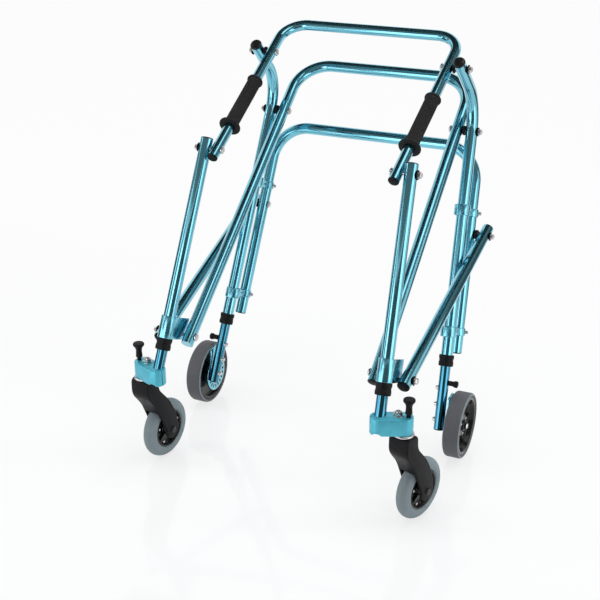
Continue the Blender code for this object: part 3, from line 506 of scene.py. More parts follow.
def geometry_tree(name, **inputs):
    """A geometry tree with its named inputs, its first and its last node."""
    tree = bpy.data.node_groups.new(name, "GeometryNodeTree")
    kinds = {"Geometry": "Geometry", **inputs, "Finish": "Material"}
    for label, kind in kinds.items():
        tree.interface.new_socket(label, in_out="INPUT", socket_type="NodeSocket" + kind)
    tree.interface.new_socket("Geometry", in_out="OUTPUT", socket_type="NodeSocketGeometry")
    return tree, tree.nodes.new("NodeGroupInput"), tree.nodes.new("NodeGroupOutput")


def finish_geometry(tree, start, end, last):
    """Ends a tree, after its last node, in real faces with their material."""
    real = tree.nodes.new("GeometryNodeRealizeInstances")
    coat = tree.nodes.new("GeometryNodeSetMaterial")
    wire(tree, (last, 0, real, 0), (real, 0, coat, "Geometry"),
         (start, "Finish", coat, "Material"), (coat, 0, end, 0))


def kept_value(tree, label, output):
    """The place along a spline, kept as a value of its points."""
    place = tree.nodes.new("GeometryNodeSplineParameter")
    keep = tree.nodes.new("GeometryNodeCaptureAttribute")
    keep.capture_items.new("FLOAT", label)
    wire(tree, (place, output, keep, label))
    return keep


def make_tube_tree():
    """A round tube along a line of points, with a map of turn and length on its faces."""
    tree, start, end = geometry_tree("tube_along_line", Radius="Float", Sides="Int")
    line = tree.nodes.new("GeometryNodeMeshToCurve")
    section = tree.nodes.new("GeometryNodeCurvePrimitiveCircle")
    length = kept_value(tree, "Length", "Length")
    turn = kept_value(tree, "Turn", "Factor")
    sweep = new_node(tree, "GeometryNodeCurveToMesh", Fill_Caps=True)
    both = tree.nodes.new("ShaderNodeCombineXYZ")
    store = new_node(tree, "GeometryNodeStoreNamedAttribute", Name="UVMap")
    store.data_type = "FLOAT2"
    store.domain = "CORNER"
    wire(tree, (start, "Geometry", line, "Mesh"), (line, 0, length, "Geometry"),
         (start, "Sides", section, "Resolution"), (start, "Radius", section, "Radius"),
         (section, "Curve", turn, "Geometry"), (length, "Geometry", sweep, "Curve"),
         (turn, "Geometry", sweep, "Profile Curve"), (sweep, "Mesh", store, "Geometry"),
         (turn, "Turn", both, "X"), (length, "Length", both, "Y"), (both, 0, store, "Value"))
    finish_geometry(tree, start, end, store)


def make_repeat_tree():
    """Copies of the mesh, each turned about Z and moved along Z from the last."""
    tree, start, end = geometry_tree("copies_in_a_row", Count="Int", Turn="Float", Step="Float")
    number = tree.nodes.new("GeometryNodeInputIndex")
    shift = tree.nodes.new("ShaderNodeCombineXYZ")
    angles = tree.nodes.new("ShaderNodeCombineXYZ")
    rotation = tree.nodes.new("FunctionNodeEulerToRotation")
    points = tree.nodes.new("GeometryNodePoints")
    copies = tree.nodes.new("GeometryNodeInstanceOnPoints")
    for label, part in (("Step", shift), ("Turn", angles)):
        amount = math_node(tree, "MULTIPLY", number.outputs[0], start.outputs[label])
        wire(tree, (amount, 0, part, "Z"))
    wire(tree, (angles, 0, rotation, "Euler"), (start, "Count", points, "Count"),
         (shift, 0, points, "Position"), (points, 0, copies, "Points"),
         (start, "Geometry", copies, "Instance"), (rotation, 0, copies, "Rotation"))
    finish_geometry(tree, start, end, copies)


def run_tree(name, mesh, **values):
    """The mesh that the named tree makes from this one."""
    holder = linked("holder", mesh)
    nodes = holder.modifiers.new("nodes", "NODES")
    nodes.node_group = bpy.data.node_groups[name]
    for item in nodes.node_group.interface.items_tree:
        if item.in_out == "INPUT" and item.name in values:
            nodes[item.identifier] = values[item.name]
    made = real_mesh(holder)
    bpy.data.objects.remove(holder, do_unlink=True)
    return made


def real_mesh(obj):
    """The object's mesh as its modifiers leave it."""
    bpy.context.view_layer.update()
    view = bpy.context.evaluated_depsgraph_get()
    return bpy.data.meshes.new_from_object(obj.evaluated_get(view), depsgraph=view)


# Building meshes

def softened(points, radius, steps=3, loop=False):
    """The outline with each corner rounded."""
    result = []
    count = len(points)
    for number, corner in enumerate(points):
        if not loop and number in (0, count - 1):
            result.append(tuple(corner))
            continue
        here = Vector(corner)
        before = Vector(points[number - 1]) - here
        after = Vector(points[(number + 1) % count]) - here
        reach = min(radius, before.length * 0.45, after.length * 0.45)
        if reach < 1e-6 or before.angle(after) > math.radians(172):
            result.append(tuple(corner))
            continue
        first = here + before.normalized() * reach
        last = here + after.normalized() * reach
        for step in range(steps + 1):
            share = step / steps
            spot = first * (1 - share) ** 2 + here * (2 * share * (1 - share)) + last * share ** 2
            result.append(tuple(spot))
    return result


def arc(centre, radius, start, end, steps):
    """Points on an arc, its angles in degrees."""
    points = []
    for step in range(steps + 1):
        angle = math.radians(start + (end - start) * step / steps)
        points.append((centre[0] + radius * math.cos(angle), centre[1] + radius * math.sin(angle)))
    return points


def two_rounds(first, second, radius, steps=28):
    """Outline of two equal circles joined by straight sides."""
    heading = math.degrees(math.atan2(second[1] - first[1], second[0] - first[0]))
    outline = arc(second, radius, heading - 90, heading + 90, steps)
    return outline + arc(first, radius, heading + 90, heading + 270, steps)


class Shape:
    """Closed solids gathered into one piece, each with its finish."""

    def __init__(self, side=0):
        self.side = side
        self.body = bmesh.new()
        self.used = []

    def number(self, finish):
        if finish not in self.used:
            self.used.append(finish)
        return self.used.index(finish)

    def face(self, corners, number, smooth=True):
        made = self.body.faces.new(corners)
        made.material_index = number
        made.smooth = smooth

    def turned(self, profile, place, finish, steps, loop=False, soft=0.0):
        """Turns (radius, height) pairs about the place's Z, closed on it or as a loop."""
        number = self.number(finish)
        if not loop:
            first, last = ([(0, height)] if radius else [] for radius, height in
                           (profile[0], profile[-1]))
            profile = [*first, *profile, *last]
        if soft:
            profile = softened(profile, soft, loop=loop)
        rings = []
        for radius, height in profile:
            count = steps if radius > 1e-6 else 1
            ring = []
            for step in range(count):
                angle = math.tau * step / count
                spot = Vector((radius * math.cos(angle), radius * math.sin(angle), height))
                ring.append(self.body.verts.new(place @ spot))
            rings.append(ring)
        pairs = list(zip(rings, rings[1:]))
        if loop:
            pairs.append((rings[-1], rings[0]))
        for low, high in pairs:
            if len(low) == len(high) == 1:
                continue
            for step in range(steps):
                corners = [low[step % len(low)], low[(step + 1) % len(low)],
                           high[(step + 1) % len(high)], high[step % len(high)]]
                self.face(list(dict.fromkeys(corners)), number)

    def hexagon(self, across, height, place, finish):
        """A nut or bolt head with chamfered corners."""
        radius = across / 2 / math.cos(math.radians(30))
        blank = Shape()
        blank.turned([(across * 0.47, height), (radius, height - radius * 0.16),
                      (radius, radius * 0.1), (across * 0.47, 0)], Matrix(), finish, 6)
        for side in blank.body.faces:
            side.smooth = False
        mesh = blank.mesh("hexagon")
        mesh.transform(place)
        self.add(mesh, finish)

    def add(self, mesh, finish):
        number = self.number(finish)
        count = len(self.body.faces)
        self.body.from_mesh(mesh)
        self.body.faces.ensure_lookup_table()
        for index in range(count, len(self.body.faces)):
            self.body.faces[index].material_index = number
        bpy.data.meshes.remove(mesh)

    def ring(self, mesh, count, place, finish):
        """Equal copies of a small mesh round the place's Z."""
        self.add(repeated(mesh, count, math.tau / count, 0.0, finish, place), finish)

    def mesh(self, name):
        bmesh.ops.recalc_face_normals(self.body, faces=self.body.faces)
        made = bpy.data.meshes.new(name)
        self.body.to_mesh(made)
        self.body.free()
        for finish in self.used:
            made.materials.append(named(finish))
        return made

    def piece(self, name, body, *nodes, angle=38.0):
        made = self.mesh(name)
        made.set_sharp_from_angle(angle=math.radians(angle))
        show(self.side, name, made, body, self.used[0], *nodes)


def prism_mesh(outline, low, high, place, bevel=0.0, segments=3):
    solid = bmesh.new()
    floor = solid.faces.new([solid.verts.new((x, y, low)) for x, y in outline])
    grown = bmesh.ops.extrude_face_region(solid, geom=[floor])
    top = [item for item in grown["geom"] if isinstance(item, bmesh.types.BMVert)]
    bmesh.ops.translate(solid, verts=top, vec=(0, 0, high - low))
    if bevel:
        rims = [edge for edge in solid.edges
                if abs(edge.verts[0].co.z - edge.verts[1].co.z) < 1e-7]
        bmesh.ops.bevel(solid, geom=rims, offset=bevel, segments=segments, profile=0.5,
                        affect="EDGES", clamp_overlap=True)
    bmesh.ops.recalc_face_normals(solid, faces=solid.faces)
    for side in solid.faces:
        side.smooth = True
    made = bpy.data.meshes.new("prism")
    solid.to_mesh(made)
    solid.free()
    made.transform(place)
    return made


def rod_mesh(start, end, radius, steps=40):
    """A round bar between two points, for cutting with."""
    rod = Shape()
    length = (end - start).length
    rod.turned([(radius, length), (radius, 0)], place_on(start, end - start), PLASTIC, steps)
    return rod.mesh("rod")


def carved(mesh, cutters):
    """The mesh with the cutters' space taken out of it."""
    blank = linked("blank", mesh)
    tools = [linked("tool", cutter) for cutter in cutters]
    for tool in tools:
        cut = blank.modifiers.new("cut", "BOOLEAN")
        cut.operation = "DIFFERENCE"
        cut.solver = "EXACT"
        cut.object = tool
    made = real_mesh(blank)
    for used in (*tools, blank):
        bpy.data.objects.remove(used, do_unlink=True)
    return made


def show(side, name, mesh, body, finish, *nodes):
    """Puts a finished mesh in the scene, on its body, for the nodes that it stands for."""
    if side:
        name, body, *nodes = [of_side(side, item) for item in (name, body, *nodes)]
    mesh.name = name
    obj = linked(name, mesh)
    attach(obj, body)
    if nodes:
        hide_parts(*nodes)


def bent(points, radii):
    """The path with each inner corner turned into an arc of its radius."""
    steps = sizes().bend_steps
    path = [points[0]]
    for before, corner, after, radius in zip(points, points[1:], points[2:], radii):
        to_start = (before - corner).normalized()
        to_end = (after - corner).normalized()
        opening = to_start.angle(to_end)
        reach = radius / math.tan(opening / 2)
        centre = corner + (to_start + to_end).normalized() * (radius / math.sin(opening / 2))
        start = corner + to_start * reach - centre
        end = corner + to_end * reach - centre
        turn = math.pi - opening
        for step in range(steps + 1):
            first = math.sin((1 - step / steps) * turn) / math.sin(turn)
            second = math.sin(step / steps * turn) / math.sin(turn)
            path.append(centre + start * first + end * second)
    path.append(points[-1])
    return path


def tube(side, name, path, radius, node, body=None, finish=TUBE):
    """A round tube along the path, for the node that it stands for."""
    line = bpy.data.meshes.new(name)
    line.from_pydata([tuple(point) for point in path],
                     [(number, number + 1) for number in range(len(path) - 1)], [])
    made = run_tree("tube_along_line", line, Radius=radius, Sides=sizes().tube_sides,
                    Finish=named(finish))
    made.shade_smooth()
    made.set_sharp_from_angle(angle=math.radians(40))
    show(side, name, made, body or node, finish, node)


def repeated(mesh, count, turn, step, finish, place):
    """Copies of a small mesh round or along the place's Z."""
    made = run_tree("copies_in_a_row", mesh, Count=count, Turn=turn, Step=step,
                    Finish=named(finish))
    made.transform(place)
    return made


def mirrored(*profile):
    """The profile, then its mirror image below, as one outline."""
    return [*profile, *((out, -high) for out, high in reversed(profile))]


# Paths of the tubes

def upright_path(side):
    line = rear_axis(side)
    forward = Vector((0, math.cos(REAR_TOP_ANGLE), math.sin(REAR_TOP_ANGLE)))
    pivot = handle_pivot()
    rise = math.tan(REAR_LEAN)
    back = (pivot.y - (REAR_FOOT[1] + rise * pivot.z)) / (forward.y - rise * forward.z)
    corner_z = pivot.z - forward.z * back
    top_z = pivot.z + forward.z * UPRIGHT_TAIL
    top = Vector((line.at(top_z).x, pivot.y + forward.y * UPRIGHT_TAIL, top_z))
    return [line.at(REAR_TUBE_END_Z), line.at(corner_z), top]


def upright_x(side):
    """Distance of the upright's axis from the middle plane at the handlebar's bolt."""
    path = upright_path(side)
    share = (HANDLE_PIVOT[1] - path[1].z) / (path[2].z - path[1].z)
    return abs(path[1].x + (path[2].x - path[1].x) * share)


def handle_reach():
    return (leg_pivot() - handle_pivot()).length


def handle_point(side, distance):
    """On the handlebar's side, this far in front of its pivot."""
    along = (leg_pivot() - handle_pivot()).normalized()
    narrowing = (HANDLE_HALF_REAR - HANDLE_HALF_FRONT) / handle_reach()
    half = HANDLE_HALF_REAR - narrowing * distance
    return Vector((side * half, 0, 0)) + handle_pivot() + along * distance


def mid_point(side, distance):
    """On the mid bar's side, this far in front of its pivot."""
    along = (bracket_bolt() - mid_pivot()).normalized()
    return Vector((side * MID_HALF, 0, 0)) + mid_pivot() + along * distance


def across_the_back(point, front, back):
    """Corners of a bar that runs from the left side round the back to the right one."""
    return [placed(point(side, reach)) for side, reach in
            ((-1, front), (-1, back), (1, back), (1, front))]


def brace_half_low():
    """Distance of a brace's axis from the middle plane at the bracket bolt."""
    radius = sizes().tube_radius
    leg = front_axis(1).at(FRONT_TUBE_END_Z + BRACKET_BOLT_UP).x
    return leg + radius + GAP + BRACKET_WALL + BRACE_ROOM + radius


def brace_half_high():
    """Distance of a brace's axis from the middle plane at its upper pivot."""
    return abs(lower_axis(1).at(BRACE_PIVOT_Z).x) + sizes().tube_radius * 2 + BRACE_SPACER


def brace_ends(side):
    low = bracket_bolt() + Vector((side * brace_half_low(), 0, 0))
    high = brace_pivot() + Vector((side * brace_half_high(), 0, 0))
    along = (high - low).normalized()
    return [low - along * BRACE_TAILS[0], high + along * BRACE_TAILS[1]]


class WALKER_OT_materials(bpy.types.Operator):
    """Make the materials that the walker's pieces use"""

    bl_idname = "walker.materials"
    bl_label = "Materials"

    def execute(self, context):
        look = finishes()
        for make in (mottle_group, drawn_lines_group, grain_group, scuff_group, make_tube_tree,
                     make_repeat_tree):
            make()
        make_anodised(TUBE, look.anodised)
        make_anodised(INNER, look.inner)
        make_worn(POLISHED, look.anodised, 0.82, ("mottle", 70.0),
                  (look.anodised_roughness + 0.06, 0.08),
                  Metallic=1.0, Coat_Weight=0.5, Coat_Roughness=0.06)
        make_worn(SATIN, look.satin, 0.86, ("mottle", 60.0), (0.33, 0.12), (1400.0, 0.08, 0.0002),
                  Metallic=0.55, Coat_Weight=0.15, Coat_Roughness=0.2)
        make_worn(PLASTIC, look.plastic, 1.5, ("mottle", 110.0), (0.38, 0.12),
                  (900.0, 0.14, 0.0003), Specular_IOR_Level=0.1)
        make_worn(GLOSS, [channel * GLOSS_DARKER for channel in look.plastic], 1 / GLOSS_DARKER,
                  ("mottle", 80.0), (0.18, 0.12),
                  Coat_Weight=0.1, Coat_Roughness=0.1, Specular_IOR_Level=0.3)
        make_worn(STEEL, look.steel, 0.82, ("mottle", 240.0), (0.18, 0.14), Metallic=1.0)
        make_worn(GRIP, look.grip, 2.4, ("scuffs", 0.5), (0.70, 0.0), (420.0, 0.6, 0.0010),
                  Specular_IOR_Level=0.25)
        for name, base in ((FRONT_TREAD, look.front_tyre), (REAR_TREAD, look.rear_tyre)):
            make_worn(name, base, 1.5, ("scuffs", 0.45), (0.58, 0.14), (1300.0, 0.12, 0.0003))
        return {"FINISHED"}


class WALKER_OT_tubes(bpy.types.Operator):
    """Make the bent and straight frame tubes with the plugs in their ends"""

    bl_idname = "walker.tubes"
    bl_label = "Frame tubes"

    def plugs(self, side, body, radius, *ends):
        """A domed plug in each end, given with a point further along the tube."""
        shape = Shape(side)
        for end, inner in ends:
            shape.turned([(0, 0.0030), (radius * 0.55, 0.0028), (radius * 0.88, 0.0018),
                          (radius - 0.0002, 0.0006), (radius - 0.0002, 0.0),
                          (radius - 0.0016, 0.0), (radius - 0.0016, -0.0060)],
                         place_on(end, end - inner), PLASTIC, 40)
        shape.piece(body + "_end_plugs", body)

    def execute(self, context):
        radius, slim, thin = sizes().tube_radius, sizes().inner_radius, sizes().handle_radius
        mid_reach = (bracket_bolt() - mid_pivot()).length
        for name, path, bend, size, plugged in (
                ("handlebar", across_the_back(handle_point, handle_reach() + HANDLE_TAIL,
                                              -HANDLE_REACH), HANDLE_BEND, thin, (0, 3)),
                ("mid_bar", across_the_back(mid_point, mid_reach + MID_TAIL, -MID_REACH),
                 MID_BEND, radius, (3,)),
                ("lower_bar", across_the_back(lambda side, height: lower_axis(side).at(height),
                                              *LOWER_ENDS), LOWER_BEND, radius, (0, 3))):
            tube(0, name + "_tube", bent(path, [bend] * 2), size, name)
            self.plugs(0, name, size, *[(path[end], path[abs(end - 1)]) for end in plugged])
        for side in SIDES:
            path = bent([placed(point) for point in upright_path(side)], [UPRIGHT_BEND])
            tube(side, "upright_tube", path, radius, "rear_upright", "rear_frame")
            low, high = [placed(point) for point in brace_ends(side)]
            tube(side, "brace_tube", [low, high], radius, "brace")
            self.plugs(side, "brace", radius, (low, high), (high, low))
            front, rear = front_axis(side), rear_axis(side)
            low = placed(front.at(FRONT_TUBE_END_Z))
            high = placed(front.at(LEG_PIVOT_Z)) + front.direction * LEG_TAIL
            tube(side, "leg_tube", [low, high], radius, "front_leg")
            self.plugs(side, "front_leg", radius, (high, low))
            low, high = [placed(front.at(height)) for height in FRONT_INNER]
            tube(side, "front_inner_tube", [low, high], slim, "front_leg_tube", finish=INNER)
            low, high = [placed(rear.at(height)) for height in REAR_INNER]
            tube(side, "rear_inner_tube", [low, high], slim, "rear_leg_tube", finish=INNER)
            self.plugs(side, "rear_leg_tube", slim, (low, high))
        return {"FINISHED"}


class WALKER_OT_grips(bpy.types.Operator):
    """Make the ribbed rubber grips on the handlebar"""

    bl_idname = "walker.grips"
    bl_label = "Hand grips"

    def execute(self, context):
        bore, radius = sizes().handle_radius + GAP, sizes().grip_radius
        for side in SIDES:
            start, end = [placed(handle_point(side, distance)) for distance in GRIP_ENDS]
            place = place_on(start, end - start)
            shape = Shape(side)
            profile = [(bore, 0.1460),
                       *mm(15, 146, 20.6, 145.5, 22.6, 144, 22.6, 141.8, 20.4, 140, 15.5, 139),
                       (radius, 0.1375), (radius - 0.0004, 0.0080), (radius, 0.0064),
                       *mm(16.6, 5.2, 17.2, 3, 16.4, 0.8, 15, 0), (bore, 0.0)]
            shape.turned(profile, place, GRIP, 56, loop=True, soft=0.0008)
            rib = Shape()
            rib.turned([(radius - 0.0008, 0.0012), (radius + 0.0002, 0.0008),
                        (radius + 0.0005, 0.0), (radius + 0.0002, -0.0008),
                        (radius - 0.0008, -0.0012)], raised(Matrix(), 0.0105), GRIP, 40, loop=True)
            ribs = repeated(rib.mesh("rib"), GRIP_RIBS, 0.0, GRIP_PITCH, GRIP, place)
            shape.add(ribs, GRIP)
            shape.piece("grip_sleeve", "handlebar", "grip", angle=50)
        return {"FINISHED"}


def screw_head(shape, place, radius, height):
    """A cap screw with a round socket."""
    shape.turned([(0, height * 0.35), (radius * 0.48, height * 0.35), (radius * 0.55, height),
                  (radius, height), (radius, 0)], place, STEEL, 24, soft=0.0004)


def add_screws(shape, reach, count, turn, height, place):
    """Small round screw heads in a ring about the place's Z, the first at this turn."""
    head = Shape()
    head.turned(mm(1.2, 1, 1.6, 2.4, 2.8, 2.2, 3.4, 0),
                Matrix.Translation((reach, 0, height - 0.0002)), STEEL, 20, soft=0.0004)
    start = place @ Matrix.Rotation(math.radians(turn), 4, "Z")
    shape.ring(head.mesh("screw"), count, start, STEEL)


class WALKER_OT_brackets(bpy.types.Operator):
    """Make the front brackets, the guide clamps and the collars"""

    bl_idname = "walker.brackets"
    bl_label = "Brackets, clamps and collars"

    def bracket(self, side):
        line, radius = front_axis(side), sizes().tube_radius
        place = place_on(placed(line.at(FRONT_TUBE_END_Z)), line.direction)
        outer, inner = radius + GAP + BRACKET_WALL, radius + GAP
        outline = arc((0, 0), outer, 180, 360, 28)
        outline += [(outer, BRACKET_REACH), (-outer, BRACKET_REACH)]
        blank = prism_mesh(softened(outline, 0.004, 4, True), 0.0, BRACKET_HEIGHT, place, 0.0009, 2)
        low, high = BRACKET_CUT
        bore = rod_mesh(place @ Vector((0, 0, low)), place @ Vector((0, 0, high)), inner)
        slot = prism_mesh([(-inner, radius * 0.75), (inner, radius * 0.75), (inner, 0.07),
                           (-inner, 0.07)], low, high, place)
        shape = Shape(side)
        shape.add(carved(blank, [bore, slot]), POLISHED)
        seat = line.at(BRACKET_PIN_Z)
        pin = along_x(side, placed(seat), abs(seat.x) + outer - 0.0002)
        shape.turned(mm(0, 1.6, 2.2, 1.4, 3, 0.4, 3.2, 0),
                     pin @ Matrix.Translation((0, -0.0005, 0)), STEEL, 20)
        shape.piece("bracket", "front_leg", "front_bracket")

    def clamp(self, side, height, label):
        line, radius = rear_axis(side), sizes().tube_radius
        place = place_on(placed(line.at(height)), line.direction)
        level = place.inverted() @ placed(lower_axis(side).at(height))
        rear = Vector((level.x, level.y, 0.0))
        around, bore = radius + GAP + CLAMP_WALL, radius + 2 * GAP
        room = Vector((-side * CLAMP_ROOM, 0, 0))
        half = Vector((0, 0, 0.02))
        rods = [rod_mesh(place @ (spot - half), place @ (spot + half), bore)
                for spot in (Vector(), room, rear)]
        ring = prism_mesh(two_rounds((0.0, 0.0), room, around), -RING_HALF, RING_HALF, place,
                          0.0016)
        hoop = prism_mesh(arc(rear, around, 0, 350, 35), -HOOP_HALF, HOOP_HALF, place, 0.0014)
        shape = Shape(side)
        shape.add(carved(ring, rods[:2]), POLISHED)
        shape.add(carved(hoop, rods[2:]), POLISHED)
        wide, reach = STRAP_HALF, around - 0.0014
        shape.add(prism_mesh([(-wide, reach), (wide, reach), (rear.x + wide, rear.y - reach),
                              (rear.x - wide, rear.y - reach)], -0.0080, 0.0080, place, 0.0018),
                  POLISHED)
        for way in (-1, 1):
            seat = place @ Matrix.Translation((rear.x + way * (around - 0.0005), rear.y, 0))
            seat = seat @ Matrix.Rotation(way * math.pi / 2, 4, "Y")
            shape.turned(mm(4.8, 1.2, 5, 0), seat, STEEL, 28)
            screw_head(shape, raised(seat, 0.0010), 0.0038, 0.0056)
        shape.piece(label + "_guide", "lower_bar", label + "_clamp")

    def collar(self, side, line, height, body, node):
        rim, bore = sizes().tube_radius - 0.0011, sizes().inner_radius + 0.0005
        place = place_on(placed(line.at(height)) - line.direction * 0.0243, line.direction)
        shape = Shape(side)
        shape.turned([(bore, 0.0240),
                      *mm(15.2, 24, 15.9, 23, 15.9, 16.5, 14.9, 15.5, 14.9, 10, 15.6, 9, 15.6, 2,
                          14.6, 0), (bore, 0.0)], place, PLASTIC, 44, loop=True, soft=0.0005)
        lip = Shape()
        lip.turned(mm(0, 0.4, 0.6, 0.2, 0.7, -0.4),
                   Matrix.Translation((0.0155, 0, 0.0055)) @ Matrix.Rotation(math.pi / 2, 4, "Y"),
                   PLASTIC, 8)
        shape.ring(lip.mesh("lip"), 20, place, PLASTIC)
        shape.turned([(rim, 0.0), (rim, 0.0030), (bore, 0.0030), (bore, 0.0)],
                     raised(place, 0.0245), PLASTIC, 40, loop=True)
        shape.piece(node + "_ring", body, node)

    def cap(self, side):
        """The rounded cap on the upright's end."""
        radius = sizes().tube_radius
        top = [placed(point) for point in upright_path(side)]
        shape = Shape(side)
        shape.turned([(0, 0.0042), (radius * 0.55, 0.0038), (radius * 0.85, 0.0026),
                      (radius - 0.0004, 0.0010), (radius - 0.0002, 0.0), (radius - 0.0014, 0.0),
                      (radius - 0.0020, -0.0060)], place_on(top[2], top[2] - top[1]), GLOSS, 44)
        shape.piece("upright_end_cap", "rear_frame", "rear_upright_cap")

    def execute(self, context):
        for side in SIDES:
            self.bracket(side)
            self.clamp(side, UPPER_CLAMP_Z, "upper")
            self.clamp(side, LOWER_CLAMP_Z, "lower")
            self.collar(side, front_axis(side), FRONT_TUBE_END_Z, "front_leg", "front_collar")
            self.collar(side, rear_axis(side), REAR_TUBE_END_Z, "rear_frame", "rear_collar")
            self.cap(side)
        return {"FINISHED"}


class WALKER_OT_bolts(bpy.types.Operator):
    """Make the pivot bolts with their heads, spacers, washers and nuts"""

    bl_idname = "walker.bolts"
    bl_label = "Pivot bolts"

    def bolt(self, side, pivot, inner, outer, body, node):
        """Inner and outer are each the half-width and radius of a tube that it passes."""
        line, shank = along_x(side, placed(pivot)), sizes().bolt_radius
        start, end = inner[0] - inner[1] - FACE_GAP, outer[0] + outer[1] + FACE_GAP
        shape = Shape(side)
        shape.turned([(shank, end), (shank, start)], line, STEEL, 24)
        head = along_x(-side, placed(pivot), -start)
        shape.turned(mm(8, 1.2, 8.2, 0), head, STEEL, 32)
        shape.turned(mm(0, 4.6, 3.5, 4.4, 6, 3.2, 6.8, 1.2), head, STEEL, 32, soft=0.0004)
        gap_start, gap_end = inner[0] + inner[1] + FACE_GAP, outer[0] - outer[1] - FACE_GAP
        if node != "bracket_bolt" and gap_end - gap_start > FACE_GAP:
            shape.turned([(0.0100, gap_end), (0.0100, gap_start)], line, PLASTIC, 36, soft=0.0006)
        self.nut(shape, raised(line, end))
        shape.piece(node + "_set", body, node)

    def nut(self, shape, seat):
        """A black washer, a plated washer, a hexagon and the end of the thread."""
        shape.turned(mm(8.2, 2.2, 9.4, 1.2, 9.4, -0.4), seat, PLASTIC, 36, soft=0.0005)
        shape.turned(mm(7.2, 3, 7.4, 2), seat, STEEL, 32)
        shape.hexagon(0.0112, 0.0046, raised(seat, 0.0030), STEEL)
        shape.turned(mm(3, 9.2, 4.4, 8.6, 5, 7.4), seat, STEEL, 28, soft=0.0004)

    def execute(self, context):
        tube_radius, thin = sizes().tube_radius, sizes().handle_radius
        leg = front_axis(1).at(LEG_PIVOT_Z).x
        middle = rear_axis(1).at(MID_PIVOT_Z).x
        low = lower_axis(1).at(BRACE_PIVOT_Z).x
        for side in SIDES:
            for pivot, inner, bore, outer, body, node in (
                    (handle_pivot(), HANDLE_HALF_REAR, thin, upright_x(side), "rear_frame",
                     "handle_pivot_bolt"),
                    (leg_pivot(), HANDLE_HALF_FRONT, thin, leg, "handlebar", "leg_pivot_bolt"),
                    (mid_pivot(), MID_HALF, tube_radius, middle, "rear_frame", "mid_pivot_bolt"),
                    (brace_pivot(), low, tube_radius, brace_half_high(), "lower_bar",
                     "brace_pivot_bolt"),
                    (bracket_bolt(), MID_HALF, tube_radius, brace_half_low(), "front_leg",
                     "bracket_bolt")):
                self.bolt(side, pivot, (inner, bore), (outer, tube_radius), body, node)
        return {"FINISHED"}


